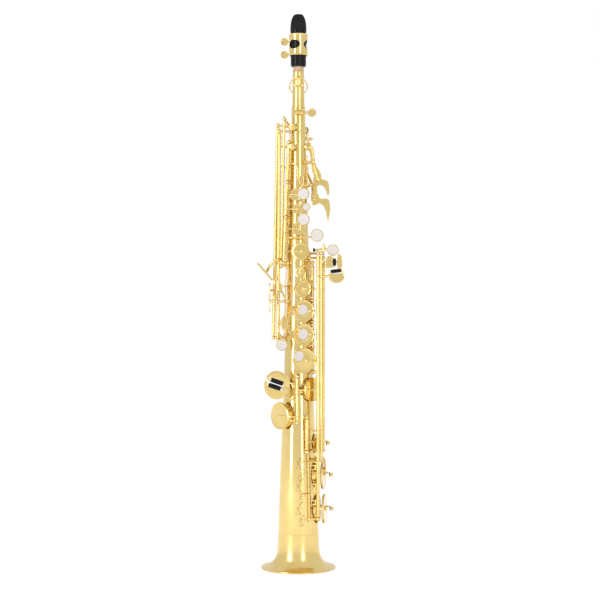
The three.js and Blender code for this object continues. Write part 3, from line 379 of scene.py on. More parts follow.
def apply_bevel(obj, width):
    modifier = obj.modifiers.new("edges", "BEVEL")
    modifier.width = width * MM
    modifier.segments = 2
    modifier.limit_method = "ANGLE"
    modifier.angle_limit = math.radians(40)
    bake_modifiers(obj)


# ------------------------------------------------------------------ materials
def new_material(name):
    material = bpy.data.materials.new(name)
    material.use_nodes = True
    tree = material.node_tree
    return material, tree.nodes, tree.links, tree.nodes["Principled BSDF"]


def noise(nodes, links, scale, detail=3, stretch=(1, 1, 1)):
    """Noise in object space, which may be stretched along an axis."""
    where = nodes.new("ShaderNodeTexCoord")
    mapping = nodes.new("ShaderNodeMapping")
    mapping.inputs["Scale"].default_value = stretch
    texture = nodes.new("ShaderNodeTexNoise")
    texture.inputs["Scale"].default_value = scale
    texture.inputs["Detail"].default_value = detail
    links.new(where.outputs["Object"], mapping.inputs["Vector"])
    links.new(mapping.outputs["Vector"], texture.inputs["Vector"])
    return texture


def ramp(nodes, links, source, stops):
    node = nodes.new("ShaderNodeValToRGB")
    elements = node.color_ramp.elements
    elements[0].position, elements[0].color = stops[0][0], (*stops[0][1], 1)
    elements[1].position, elements[1].color = stops[-1][0], (*stops[-1][1], 1)
    for position, colour in stops[1:-1]:
        elements.new(position).color = (*colour, 1)
    links.new(source, node.inputs["Fac"])
    return node


def bump(nodes, links, source, shader, distance, strength=1.0):
    node = nodes.new("ShaderNodeBump")
    node.inputs["Distance"].default_value = distance
    node.inputs["Strength"].default_value = strength
    links.new(source, node.inputs["Height"])
    links.new(node.outputs["Normal"], shader.inputs["Normal"])


def grey(value):
    return (value, value, value)


def metal(name, light, dark, roughness, coat=0.0, wave=0.0):
    material, nodes, links, shader = new_material(name)
    shader.inputs["Metallic"].default_value = 1
    cloud = noise(nodes, links, 60)
    colour = ramp(nodes, links, cloud.outputs["Fac"], [(0.3, dark), (0.7, light)])
    links.new(colour.outputs["Color"], shader.inputs["Base Color"])
    low, high = roughness
    haze = noise(nodes, links, 220, 4)
    rough = ramp(nodes, links, haze.outputs["Fac"], [(0.3, grey(low)), (0.75, grey(high))])
    links.new(rough.outputs["Color"], shader.inputs["Roughness"])
    if coat:
        shader.inputs["Coat Weight"].default_value = coat
        shader.inputs["Coat Roughness"].default_value = 0.06
    if wave:
        ripple = noise(nodes, links, 130, 1, (1, 1, 0.35))
        bump(nodes, links, ripple.outputs["Fac"], shader, wave, 0.5)
    return material


def plain(name, dark, light, roughness, scale, relief=0.0, gloss=0.5, stretch=(1, 1, 1), sheen=0.0):
    """A material that isn't metal, mottled between two colours with a fine relief."""
    material, nodes, links, shader = new_material(name)
    grain = noise(nodes, links, scale, 5, stretch)
    colour = ramp(nodes, links, grain.outputs["Fac"], [(0.3, dark), (0.7, light)])
    links.new(colour.outputs["Color"], shader.inputs["Base Color"])
    shader.inputs["Roughness"].default_value = roughness
    shader.inputs["Specular IOR Level"].default_value = gloss
    shader.inputs["Sheen Weight"].default_value = sheen
    if relief:
        bump(nodes, links, grain.outputs["Fac"], shader, relief)
    return material


def mother_of_pearl():
    material, nodes, links, shader = new_material("mother_of_pearl")
    cloud = noise(nodes, links, 150, 4, (1, 1, 2.4))
    cloud.inputs["Distortion"].default_value = 1.6
    stops = [(0.3, (0.57, 0.49, 0.44)), (0.45, (0.70, 0.63, 0.55)), (0.56, (0.62, 0.60, 0.57)),
             (0.68, (0.74, 0.67, 0.60))]
    colour = ramp(nodes, links, cloud.outputs["Fac"], stops)
    links.new(colour.outputs["Color"], shader.inputs["Base Color"])
    shader.inputs["Roughness"].default_value = 0.16
    shader.inputs["Coat Weight"].default_value = 0.15
    shader.inputs["Coat Roughness"].default_value = 0.05
    return material


def make_materials():
    MATERIALS["brass"] = metal("lacquered_brass", (0.86, 0.66, 0.27), (0.80, 0.59, 0.21), (0.08, 0.13),
                               0.1, 0.00003)
    MATERIALS["soft_brass"] = metal("soft_brass", (0.86, 0.66, 0.27), (0.80, 0.59, 0.21), (0.2, 0.27), 0.1)
    MATERIALS["engraved"] = metal("engraved_brass", (0.36, 0.22, 0.07), (0.30, 0.18, 0.05), (0.3, 0.45))
    MATERIALS["steel"] = metal("pivot_steel", (0.62, 0.58, 0.5), (0.5, 0.46, 0.4), (0.2, 0.32))
    MATERIALS["spring"] = metal("blued_spring", (0.12, 0.14, 0.22), (0.08, 0.09, 0.14), (0.25, 0.35))
    MATERIALS["leather"] = plain("pad_leather", (0.35, 0.17, 0.07), (0.5, 0.27, 0.12), 0.6, 600, 0.00005)
    MATERIALS["felt"] = plain("black_felt", (0.008, 0.008, 0.008), (0.02, 0.019, 0.018), 0.95, 1500,
                              0.0002, sheen=0.2)
    MATERIALS["pearl"] = mother_of_pearl()
    MATERIALS["roller"] = plain("roller_black", (0.006, 0.006, 0.006), (0.014, 0.013, 0.013), 0.28, 300,
                                gloss=0.12)
    MATERIALS["ebonite"] = plain("hard_rubber", (0.006, 0.006, 0.007), (0.012, 0.011, 0.011), 0.2, 90,
                                 gloss=0.14)
    MATERIALS["cork"] = plain("neck_cork", (0.42, 0.25, 0.15), (0.72, 0.52, 0.38), 0.85, 700, 0.0002)
    MATERIALS["cane"] = plain("reed_cane", (0.62, 0.47, 0.22), (0.78, 0.64, 0.36), 0.55, 900, 0.00005,
                              stretch=(1, 1, 0.04))


# ------------------------------------------------------------------ bell and tube
def ring_wall(curve, wall, low_cap):
    """Closed (radius, height) profile of a wall that follows a curve of (height, radius)."""
    outside = [(r, z) for z, r in curve]
    inside = [(r - wall, z) for z, r in reversed(curve)]
    return [*low_cap, *outside, *inside]


def bell():
    shape = Shape()
    rim = [(42.6, 0.2), (43.4, 0), (45.6, 0), (46.3, 0.4), (46.5, 1.0), (46.2, 1.7), (45.4, 2.1), (44.4, 1.9)]
    curve = smooth_pairs([(1.9, 43.9), (2.6, 41.6), (3.6, 38.8), (5.4, 35.4), (8.6, 31.8), (13, 28.9),
                          (20, 26.8),
                          (31, 25.8), (43.9, 25.3)])
    shape.spin(*TUBE_AXIS, ring_wall(curve, 1.2, rim), "soft_brass", 96, closed=True)
    finish_mesh("bell", shape, "body")


def smooth_pairs(pairs, per=5):
    """A smooth run of pairs through the given ones."""
    return [(p.x, p.y) for p in smooth_path([(a, b, 0) for a, b in pairs], per)]


def body_tube():
    shape = Shape()
    curve = smooth_pairs(BODY_CURVE, 6)
    receiver = [(8.8, 551.4), (8.8, 552.8), (8.4, 553.4), (8.4, 568.6), (8.8, 569.2), (8.8, 570.6),
                (8.4, 571),
                (7.0, 571), (6.9, 570.6), (6.9, 552.4)]
    shoulder = [(8.4, 550.6)]
    outside = [(r, z) for z, r in curve[:-1]]
    inside = [(r - WALL, z) for z, r in reversed(curve)]
    shape.spin(*TUBE_AXIS, outside + shoulder + receiver + inside, segments=96, closed=True)
    slit = Shape().plate([(-0.5, 556), (0.5, 556), (0.5, 573), (-0.5, 573)], (0, -3, 0), *FACING, 14,
                         ease=0.1)
    drills = Shape()
    for z, az, hole, _ in HOLES.values():
        drills.rod(polar(az, radius_at(z) * 0.3, z), polar(az, radius_at(z) + 9, z), hole + 0.2, segments=40)
    finish_mesh("tube_wall", shape, "body", ["body_tube"], cutters=[drills, slit])
    chimneys()
    receiver_lugs()


def chimneys():
    """A drawn chimney with a rolled rim at every tone hole."""
    shape = Shape()
    for z, az, hole, _ in HOLES.values():
        r = radius_at(z)
        sink = r - math.sqrt(max(r * r - (hole + 1.6) ** 2, 1)) + 0.6
        outer = hole + CHIMNEY_WALL
        top = CHIMNEY_HEIGHT
        profile = [(hole, -sink), (outer + 0.7, -sink), (outer, 0.6), (outer, top - 0.7),
                   (outer + 0.25, top - 0.35),
                   (outer + 0.05, top), (hole + 0.1, top), (hole, top - 0.3)]
        shape.spin(polar(az, r, z), outward(az), profile, segments=48, closed=True)
    finish_mesh("tone_hole_chimneys", shape, "body", [])


def receiver_lugs():
    shape = Shape()
    for side in (-1, 1):
        shape.rod((side * 0.8, -12, 564.6), (side * 4.4, -12, 564.6), 3.2, segments=32)
        shape.plate([(-1.8, 561.8), (1.8, 561.8), (1.8, 567.4), (-1.8, 567.4)], (side * 2.6, -8, 0),
                    (1, 0, 0),
                    (0, 0, 1), 4)
    finish_mesh("receiver_lugs", shape, "body", [])


# ------------------------------------------------------------------ posts and ribs
def post(shape, base, head, ball=POST_BALL):
    """A turned post with a flared foot and a ball at its head."""
    base, head = vec(base), vec(head)
    length = (head - base).length
    neck = length - ball * 0.8
    profile = [(0, 0), (3.3, 0), (3.1, 0.7), (2.0, 1.5), (1.45, 2.6), (1.3, neck - 1.2), (1.9, neck - 0.7),
               (1.9, neck - 0.1), (1.2, neck + 0.4), (0, neck + 0.4)]
    if length < 6:
        profile = [(0, 0), (1.9, 0), (1.4, length * 0.5), (0, length * 0.6)]
    shape.spin(base, head - base, profile)
    shape.ball(head, ball, segments=24)


def pivot_screw(shape, centre, direction, size=1.5):
    """A steel screw head at the outer face of a post's ball, with a thin dark bar across it as painted shade
    for its slot.
    """
    along = vec(direction).normalized()
    start = vec(centre) + along * (POST_BALL - 1.0)
    shape.rod(start, start + along * 1.15, size, "steel")
    side = along.orthogonal().normalized()
    middle = start + along * 1.16
    # the slot is not cut: a thin bar of the dark blued-spring material lies across the head, painted shade
    # for the slot
    shape.rod(middle - side * size * 0.9, middle + side * size * 0.9, 0.22, "spring", 8, 0.05)


def strip(shape, az, low, high):
    foot = polar(az, radius_at(low) + 0.5, low)
    head = polar(az, radius_at(high) + 0.5, high)
    up = head - foot
    length = up.length
    outline = [(-1.3, 0), (1.3, 0), (1.3, length), (-1.3, length)]
    shape.plate(outline, foot, around(az), up, 1.6, ease=0.35)


def rib_posts(shape, az, line, heights, ball=POST_BALL):
    for z in heights:
        post(shape, polar(az, radius_at(z) + 1.2, z), on_line(line, z), ball)


def line_axis(line):
    low, high = (vec(p) for p in LINES[line])
    return (high - low).normalized()


def upper_stack_rib():
    shape = Shape()
    line = "upper_stack"
    strip(shape, -66, 376, 531)
    rib_posts(shape, -66, line, [379, 435.5, 479, 528.4])
    shape.rod(on_line(line, 378), on_line(line, 529), HINGE_ROD, "steel")
    pivot_screw(shape, on_line(line, 379), -line_axis(line))
    pivot_screw(shape, on_line(line, 528.4), line_axis(line))
    finish_mesh("upper_stack_rib", shape, "body")


def lower_stack_rib():
    shape = Shape()
    strip(shape, 76, 242, 393)
    line = "lower_stack"
    rib_posts(shape, 76, line, [244, 273, 306, 332.3, 354, 379])
    shape.rod(on_line(line, 243), on_line(line, 380), HINGE_ROD, "steel")
    pivot_screw(shape, on_line(line, 244), -line_axis(line))
    for name, z in (("b_flat", 390.5), ("low_b", 390.5), ("c_sharp_lever", 385)):
        post(shape, polar(76, radius_at(z) + 1.2, z), on_line(name, z), 2.4)
    for name in ("b_flat", "low_b"):
        pivot_screw(shape, on_line(name, 390.5), line_axis(name))
    shape.rod(on_line("c_sharp_lever", 385), on_line("c_sharp_lever", 402), HINGE_ROD, "steel")
    finish_mesh("lower_stack_rib", shape, "body")


def side_key_rib():
    shape = Shape()
    strip(shape, -88, 283, 549)
    rib_posts(shape, -88, "side_c", [286.5], 2.4)
    rib_posts(shape, -88, "side_b_flat", [331.4, 542.5], 2.4)
    rib_posts(shape, -88, "trill", [283.5], 2.4)
    post(shape, polar(-88, radius_at(375) + 1.2, 375.4), on_line("high_e", 375.4), 2.0)
    post(shape, polar(-88, radius_at(548) + 1.2, 548), on_line("side_c", 550.5), 2.5)
    post(shape, polar(-88, radius_at(548) + 1.2, 548), on_line("high_e", 557.6), 2.3)
    for line, low, high in (("side_c", 286.5, 550.5), ("side_b_flat", 331.4, 542.5),
                            ("high_e", 375.4, 557.6)):
        pivot_screw(shape, on_line(line, low), -line_axis(line), 1.3)
        pivot_screw(shape, on_line(line, high), line_axis(line), 1.3)
    bracket = [(-24.4, 353), (-20.6, 353), (-19.6, 345), (-15.4, 336.4), (-17.6, 334.4), (-22.4, 342),
               (-27, 334.4),
               (-29.4, 336), (-25.4, 345)]
    shape.front_plate(bracket, -8.2, 1.6, smooth=4)
    shape.wire([(-22.4, -8.6, 350), (-21.4, -1, 350), (-15.4, 1, 350)], 1.3)
    finish_mesh("side_key_rib", shape, "body")


PALM_POSTS = {
    "palm_e_flat": ((18.5, -7.4, 504), (18.5, 5.4, 504)),
    "palm_d": ((15.5, -3.4, 476), (15.5, 8.4, 476)),
}
PALM_F_HEIGHT = 534
PALM_F_AZ = 137
OCTAVE = Vector((0, 16.5, 470))


def palm_f_point(side):
    return polar(PALM_F_AZ, 16.5, PALM_F_HEIGHT) + around(PALM_F_AZ) * side


def palm_key_rib():
    shape = Shape()
    strip(shape, 112, 466, 514)
    for _, head in PALM_POSTS.values():
        post(shape, polar(112, radius_at(head[2]) + 1.2, head[2]), head, 2.3)
        pivot_screw(shape, head, (0, 1, 0), 1.3)
    finish_mesh("palm_key_rib", shape, "body")


def single_posts():
    """Posts that stand on the tube by themselves, and the steel rod of the little finger keys."""
    shape = Shape()
    stands = [
        (polar(30, radius_at(64), 64), on_line("b_flat", 63.6), POST_BALL),
        (polar(70, 22, 136), on_line("low_b", 136), 2.0),
        (polar(60, 21, 147.5), on_line("c_sharp_lever", 147.5), 2.4),
        (polar(23, 21.4, 146.5), on_line("c_sharp", 146.5), 2.4),
        (polar(23, 19.8, 189), on_line("c_sharp", 189), 2.4),
        (polar(-4, 20, 182.5), on_line("pinky", 182.5), POST_BALL),
        (polar(-4, 18, 239), on_line("pinky", 239), POST_BALL),
        ((7, -7.4, 504), PALM_POSTS["palm_e_flat"][0], 2.3),
        ((8.4, -3.4, 476), PALM_POSTS["palm_d"][0], 2.3),
        (polar(112, 8.4, PALM_F_HEIGHT), palm_f_point(-6.8), 1.9),
        (polar(162, 8.4, PALM_F_HEIGHT), palm_f_point(6.8), 1.9),
        ((-6, 8.6, OCTAVE.z), (-7.6, OCTAVE.y, OCTAVE.z), 2.1),
        ((6, 8.6, OCTAVE.z), (7.6, OCTAVE.y, OCTAVE.z), 2.1),
    ]
    for base, head, ball in stands:
        post(shape, base, head, ball)
    for line, low, high in (("b_flat", 63.6, None), ("c_sharp", 146.5, 189), ("pinky", 182.5, 239)):
        pivot_screw(shape, on_line(line, low), -line_axis(line))
        if high:
            pivot_screw(shape, on_line(line, high), line_axis(line))
    shape.rod(on_line("pinky", 182), on_line("pinky", 239.5), HINGE_ROD, "steel")
    strip(shape, LOW_RIB_AZ, 60, 146)
    for z in (84, 104, 127):
        saddle(shape, z)
    for z, x, line in ((134, 3, "low_b"), (94.6, 0.5, "b_flat")):
        root = polar(math.degrees(math.asin(x / radius_at(z))), radius_at(z), z)
        shape.ball(root + Vector((0, -0.8, 0)), 1.3)
        end = on_line(line, z)
        shape.wire([root + Vector((0, -1, 0)), root.lerp(end, 0.5) + Vector((0, -4.6, 0)),
                    end + Vector((-1.2, -3.2, 0))],
                   0.55)
    finish_mesh("single_posts", shape, "body", [])


def saddle(shape, z):
    """A low bearing on the front rib, that ends just short of the long low B flat rod."""
    root = polar(LOW_RIB_AZ, radius_at(z) + 1.6, z)
    rod_centre = on_line("b_flat", z)
    reach = rod_centre + (root - rod_centre).normalized() * 3.2
    for step in (-2.6, 2.6):
        off = Vector((0, 0, step))
        shape.wire([root + off, root.lerp(reach, 0.5) + off + Vector((0, -0.8, 0)), reach + off * 0.8], 0.9)
    shape.rod(reach - Vector((0, 0, 3.2)), reach + Vector((0, 0, 3.2)), 1.1)


# ------------------------------------------------------------------ keys
def cup(shape, hole):
    """A brass cup with a rounded edge and a shallow dish, on a leather pad."""
    z, az, _, r = HOLES[hole]
    back = polar(az, radius_at(z) + CHIMNEY_HEIGHT + GAP, z)
    pad = [(0, 0.05), (r - 1.3, 0.05), (r - 0.7, 0.35), (r - 0.6, PAD + 0.4), (0, PAD + 0.4)]
    dish = [(0, PAD), (r - 0.5, PAD), (r - 0.5, 0.5), (r - 0.15, 0.5), (r, 0.8), (r, 2.2), (r - 0.25, 2.75),
            (r - 0.8, 3.05), (r - 1.5, 3.0), (r - 2.3, 2.75), (r * 0.4, 2.95), (0, 3.0)]
    shape.spin(back, outward(az), pad, "leather", 48)
    shape.spin(back, outward(az), dish, segments=64)


def hinge_tube(shape, line, low, high, radius=HINGE_TUBE):
    """A hinge tube with a collar near each end."""
    a, b = on_line(line, low), on_line(line, high)
    shape.rod(a, b, radius, segments=28)
    along = (b - a).normalized()
    for end, way in ((a, along), (b, -along)):
        if (b - a).length > 8:
            shape.rod(end + way * 0.9, end + way * 2.1, radius + 0.22, segments=28, ease=0.2)


def arm(shape, line, z, hole, reach, end=0, via=()):
    """An arm from a hinge line that lies over its cup, with a small boss in the middle."""
    centre = cup_top(hole, 0, end, 0.2)
    edge = cup_top(hole, 0, reach, 0.6)
    shape.wire([on_line(line, z), *via, edge, centre], 1.25, end_scale=0.8)
    boss(shape, hole, end)


def boss(shape, hole, end=0):
    az = HOLES[hole][1]
    r = 2.6 if HOLES[hole][3] > 8 else 1.8
    centre = cup_top(hole, 0, end, -0.3)
    profile = [(0, 0), (r, 0), (r, 0.5), (r - 0.5, 0.95), (r * 0.4, 1.15), (0, 1.2)]
    shape.spin(centre, outward(az), profile, segments=28)


def cup_and_boss(shape, hole):
    cup(shape, hole)
    boss(shape, hole)


def spring(shape, line, z, away, length):
    """A needle spring from a post, along the hinge, to the cradle that it presses."""
    start = on_line(line, z)
    off = vec(away)
    shape.wire([start + off * 0.6, on_line(line, z + length * 0.5) + off,
                on_line(line, z + length) + off * 0.9], 0.3, "spring", 8)


def seat_on_cup(hole, up, side):
    return cup_top(hole, up, side, -0.3)


PEARLS = {
    "b": ((7.3, -16.6, 463.4), 6.8, 0), "bis": ((11.1, -17.2, 447.2), 4.2, 0),
    "a": ((7.8, -18.0, 432), 6.9, 0), "g": ((24.8, -19.0, 412.3), 7.1, 0),
    "f": (seat_on_cup("f", 1.4, -3), 6.5, 16), "e": (seat_on_cup("e", 0.7, -2.8), 6.6, 16),
    "d": (seat_on_cup("d", 5.9, -9), 6.4, 16.3), "trill": ((-20.3, -19, 277.6), 6.4, 0),
    "g_sharp": ((42.5, -18, 394.5), 6.4, 0),
}


def pearl_holder(shape, name):
    """A brass seat with a thin upright rim round the pearl."""
    back, r, az = PEARLS[name]
    rim = r + 0.7
    profile = [(0, -0.2), (rim - 1.2, -0.2), (rim - 0.3, 0.3), (rim, 0.9), (rim, 2.7), (rim - 0.2, 2.95),
               (r + 0.12, 2.9), (r + 0.1, HOLDER), (0, HOLDER)]
    shape.spin(back, outward(az), profile, segments=48)


def pearl_disc(name, body, matrix=None):
    back, r, az = PEARLS[name]
    seat = vec(back) + outward(az) * HOLDER
    profile = [(0, 0), (r, 0), (r, 1.35), (r - 0.2, 1.7), (r - 0.7, 1.85), (r * 0.6, 1.6), (0, 1.45)]
    disc = Shape().spin(seat, outward(az), profile, "pearl", 48)
    shape = Shape().merge(disc, matrix)
    finish_mesh(name + "_pearl", shape, body)


def felt(shape, a, b, radius):
    shape.rod(a, b, radius, "felt", ease=0.3)


# Stack keys: hinge line, hinge tube heights, where the arm ends on the cup, and the other parts.
def b_parts(shape):
    pearl_holder(shape, "b")
    shape.wire([cup_top("b", 0, 0, 0.2), (4, -16.4, 463.2), (7.3, -16.7, 463.4)], 1.3, per=5)


def bis_parts(shape):
    pearl_holder(shape, "bis")
    shape.wire([cup_top("bis", 0, 1, 0.2), (5, -16.9, 446), (11, -17.4, 447.2)], 1.1, per=5)


def a_parts(shape):
    pearl_holder(shape, "a")
    shape.wire([cup_top("a", 2, 1, 0.1), (5, -18, 427), (7.8, -18.0, 431)], 1.3, per=5)


def g_parts(shape):
    pearl_holder(shape, "g")
    line = "upper_stack"
    shape.wire([on_line(line, 409.6), (-10, -19.4, 409.6), (6, -21.2, 409.6), (20, -19.6, 410.6),
                (24.8, -19.2, 412)], 1.2)


def f_sharp_parts(shape):
    shape.wire([on_line("lower_stack", 349), (14, -20, 352), (7.4, -23, 358), (7, -22.4, 366)], 1.0)


STACK = {
    "b": ("upper_stack", (450.6, 476.2), 0, b_parts), "bis": ("upper_stack", (438.3, 450.2), 0, bis_parts),
    "a": ("upper_stack", (414.2, 432.6), 0, a_parts), "g": ("upper_stack", (382, 413.8), 0, g_parts),
    "f_sharp": ("lower_stack", (335.4, 351), 0, f_sharp_parts),
    "f": ("lower_stack", (309, 329.2), 5, lambda shape: pearl_holder(shape, "f")),
    "e": ("lower_stack", (276, 303), 5, lambda shape: pearl_holder(shape, "e")),
    "d": ("lower_stack", (247, 270), 2, lambda shape: pearl_holder(shape, "d")),
}


def stack_keys():
    for name, (line, tube, end, parts) in STACK.items():
        left = line == "upper_stack"
        closed = Shape()
        hinge_tube(closed, line, *tube)
        cup(closed, name)
        z, _, _, r = HOLES[name]
        round_the_rim = () if left else (on_line(line, z) + ARM_BULGE,)
        arm(closed, line, z, name, r * (-0.75 if left else 0.75), end, round_the_rim)
        parts(closed)
        rest = turn_matrix(line, -OPEN_STACK if left else OPEN_STACK)
        finish_mesh(name + "_key", Shape().merge(closed, rest), name)
        if name in PEARLS:
            pearl_disc(name, name, rest)


def small_key(node, body, line, tube, hole, build, radius=HINGE_TUBE):
    """A key that is closed at rest."""
    shape = Shape()
    hinge_tube(shape, line, *tube, radius)
    if hole:
        cup_and_boss(shape, hole)
    build(shape)
    finish_mesh(node, shape, body)


def upper_keys():
    def octave(shape):
        shape.wire([on_line("upper_stack", 519), (-10.6, -12.4, 521), cup_top("octave", 0, 0, 0.3)], 1.0)

    def front_f(shape):
        shape.wire([on_line("upper_stack", 500), (-7, -15.6, 501.5), (-1.6, -17.6, 497), (-0.8, -17.8, 484),
                    (3, -17.8, 480)], 1.05)
        shape.front_plate(ellipse(3.8, 479.6, 3.2, 7.2), -17.2, 1.8, ease=0.7)

    def g_sharp(shape):
        shape.wire([on_line("lower_stack", 374), (14, -16.5, 374.6), (6, -20.8, 374.6),
                    cup_top("g_sharp", 2, 0, 0.5)], 1.1)

    small_key("body_octave_key", "body_octave", "upper_stack", (513, 525.4), "octave", octave)
    small_key("front_f_key", "front_f", "upper_stack", (482, 511.5), None, front_f)
    small_key("g_sharp_key", "g_sharp", "lower_stack", (357, 376), "g_sharp", g_sharp)


def palm_keys():
    shape = Shape()
    shape.rod((18.5, -4.5, 504), (18.5, 2.5, 504), HINGE_TUBE, segments=28)
    cup_and_boss(shape, "palm_e_flat")
    shape.wire([cup_top("palm_e_flat", 0, 0, 0.3), (17.6, 0, 517), (18.9, -1, 504), (22, -3.6, 493),
                (25, -5, 482)],
               1.9, end_scale=1.25)
    bar = [(11.4, 527), (15.6, 525), (17.8, 516), (19.4, 504), (22.4, 494), (26, 486), (29, 480),
           (24.6, 478.6),
           (20.4, 484), (17.4, 493), (15.4, 505), (13.8, 516), (11, 522)]
    shape.front_plate(bar, -1, 2.2, smooth=4, ease=0.5)
    leaf = [(22, 488), (26, 483.6), (31, 482.4), (36, 480.4), (38, 476), (38.4, 469), (37.8, 463.6),
            (36, 463),
            (34.6, 468), (31.6, 473), (27, 475.8), (23, 475)]
    shape.front_plate(leaf, -4, 2.2, smooth=5, ease=0.12)
    finish_mesh("palm_e_flat_key", shape, "palm_e_flat")

    shape = Shape()
    shape.rod((15.5, -0.8, 476), (15.5, 4.4, 476), HINGE_TUBE, segments=28)
    cup_and_boss(shape, "palm_d")
    shape.wire([cup_top("palm_d", 0, 0, 0.3), (12.6, 13.4, 488), (17.4, 4, 476), (18.5, -1, 466),
                (19.5, -5, 458)],
               1.8, end_scale=1.2)
    bar = [(18.8, 486), (21.8, 484), (23.4, 474), (24.4, 465), (27, 459.5), (24, 452), (17.6, 452),
           (15.8, 460),
           (16.4, 468), (18.6, 473)]
    shape.front_plate(bar, 1.6, 2.2, smooth=4, ease=0.5)
    leaf = [(17, 464), (22, 459.8), (28, 458.6), (35, 458.8), (38, 456.6), (39.6, 449), (39.2, 441),
            (36.6, 430),
            (35.4, 436), (33.8, 444), (30, 450.6), (25, 452.8), (18, 450.6)]
    shape.front_plate(leaf, -4, 2.2, smooth=5, ease=0.35)
    finish_mesh("palm_d_key", shape, "palm_d")

    shape = Shape()
    shape.rod(palm_f_point(-4.2), palm_f_point(4.2), 1.9, segments=28)
    cup_and_boss(shape, "palm_f")
    shape.wire([cup_top("palm_f", 0, 0, 0.3), polar(136, 16.2, 540), palm_f_point(0), (17, 13.6, 512),
                (21.5, 11.2, 494)], 1.4)
    leaf = [(19, 500), (24.4, 498), (28.6, 489), (28.4, 478.6), (24.6, 484), (18.4, 492)]
    shape.front_plate(leaf, 12.4, 2.2, smooth=5, ease=0.35)
    finish_mesh("palm_f_key", shape, "palm_f")


def side_touch(shape, low, high, front, back):
    """A side key's touch: an upright blade, rounded at its ends, that faces away from the tube."""
    mid = (front + back) / 2
    half = (back - front) / 2
    outline = ellipse(mid, high - half, half, half, 0, 180, 18) + ellipse(mid, low + half, half, half, 180,
            360, 18)
    shape.plate(outline, (-36.4, 0, 0), *SIDEWAYS, 1.7, ease=0.6)


def side_keys():
    def side_c(shape):
        shape.wire([on_line("side_c", 526), (-21, 9.4, 525), cup_top("side_c", 0, 0, 0.3)], 1.15)
        shape.wire([on_line("side_c", 345), (-33.4, -1, 345), (-35.4, -3.4, 345)], 1.3)
        side_touch(shape, 336, 354, -12.6, -2.6)

    def side_b_flat(shape):
        line = "side_b_flat"
        shape.wire([on_line(line, 500), (-20.4, 3.6, 499), (-15, 11.5, 498), cup_top(line, 0, 0, 0.3)], 1.15)
        shape.wire([on_line(line, 336), (-29, -6.6, 334), (-35.4, -8.6, 330)], 1.3)
        side_touch(shape, 317, 335.4, -14, -4)

    def high_e(shape):
        shape.wire([on_line("high_e", 549), (-12, -11.4, 548), cup_top("high_e", 0, 0, 0.3)], 1.1)
        shape.wire([on_line("high_e", 384), (-26, -10.6, 383), (-33, -9.6, 378), (-40, -4, 367.2)], 1.6)
        slope = [(-51.2, 377.6), (-49.4, 379.4), (-31.4, 358.4), (-33.2, 356.8)]
        shape.front_plate(slope, -2, 12, ease=0.3)

    def trill(shape):
        shape.wire([on_line("trill", 304), (-25, 5, 304), cup_top("trill", 0, 0, 0.3)], 1.15)
        shape.wire([on_line("trill", 292), (-21.4, -15, 288), (-19.6, -18.6, 281)], 1.2)
        pearl_holder(shape, "trill")
        shape.wire([on_line("trill", 304), (-21, -10, 304), (-17.4, -13.2, 304)], 1.1)
        shape.front_plate(ellipse(-17, 304, 4.2, 9.6), -12.6, 1.5, ease=0.5)

    small_key("side_c_key", "side_c", "side_c", (289.4, 547.6), "side_c", side_c)
    small_key("side_b_flat_key", "side_b_flat", "side_b_flat", (334.3, 539.6), "side_b_flat", side_b_flat)
    small_key("side_high_e_key", "side_high_e", "high_e", (378.4, 553.6), "high_e", high_e, 1.75)
    small_key("f_sharp_trill_key", "f_sharp_trill", "trill", (286.4, 328.5), "trill", trill)
    pearl_disc("trill", "f_sharp_trill")


# ------------------------------------------------------------------ low keys
TOUCH_BACK = -22.4
ROLLERS = {
    "c_sharp_roller": ((44.2, -25, 375.2), (44.2, -25, 383.4)),
    "b_flat_roller": ((39.8, -23.2, 367.8), (52.6, -23.2, 369.4)),
    "e_flat_roller": ((-33.5, -28.6, 235.4), (-18.7, -28.6, 230.3)),
    "c_roller": ((-36.3, -28.6, 229.2), (-21.7, -28.6, 224.2)),
}


def roller_mount(shape, name, lug=1.8):
    a, b = (vec(p) for p in ROLLERS[name])
    along = (b - a).normalized()
    shape.rod(a - along * 1.5, b + along * 1.5, 0.6, "steel")
    shape.rod(a - along * 1.5, a - along * 0.3, lug)
    shape.rod(b + along * 0.3, b + along * 1.5, lug)


def roller(name, body, matrix=None, radius=2.3):
    a, b = (vec(p) for p in ROLLERS[name])
    length = (b - a).length
    half = [(0.75, 0.1), (radius - 0.7, 0), (radius - 0.3, 0.25), (radius - 0.1, 0.8)]
    profile = half + [(radius, length / 2)] + [(r, length - z) for r, z in reversed(half)]
    turned = Shape().spin(a, b - a, profile, "roller", 32, closed=True)
    finish_mesh(name, Shape().merge(turned, matrix), body)


def low_b_flat():
    line = "b_flat"
    closed = Shape()
    hinge_tube(closed, line, 66.9, 387.6, 2.2)
    cup_and_boss(closed, "b_flat")
    closed.wire([on_line(line, 76), (32.6, -18.6, 75), cup_top("b_flat", 0, -12, 1.3),
                 cup_top("b_flat", 0, 0, 0.4)],
                1.5, end_scale=0.8)
    rest = turn_matrix(line, -OPEN_B_FLAT)
    shape = Shape().merge(closed, rest)
    shape.wire([on_line(line, 362), (29, -23.8, 362), (38, -23.4, 362)], 1.4)
    touch = [(37, 365), (54.2, 365.8), (57, 363)] + ellipse(46.9, 362, 10, 8.4, 0, -180, 20)
    shape.front_plate(touch, TOUCH_BACK, 1.8, ease=0.6)
    roller_mount(shape, "b_flat_roller")
    for x, z in ((38.6, 367.6), (53.9, 369.4)):
        shape.rod((x, -22.8, 364), (x, -23.2, z), 1.0)
    finish_mesh("low_b_flat_key", shape, "low_b_flat")
    roller("b_flat_roller", "b_flat_roller")


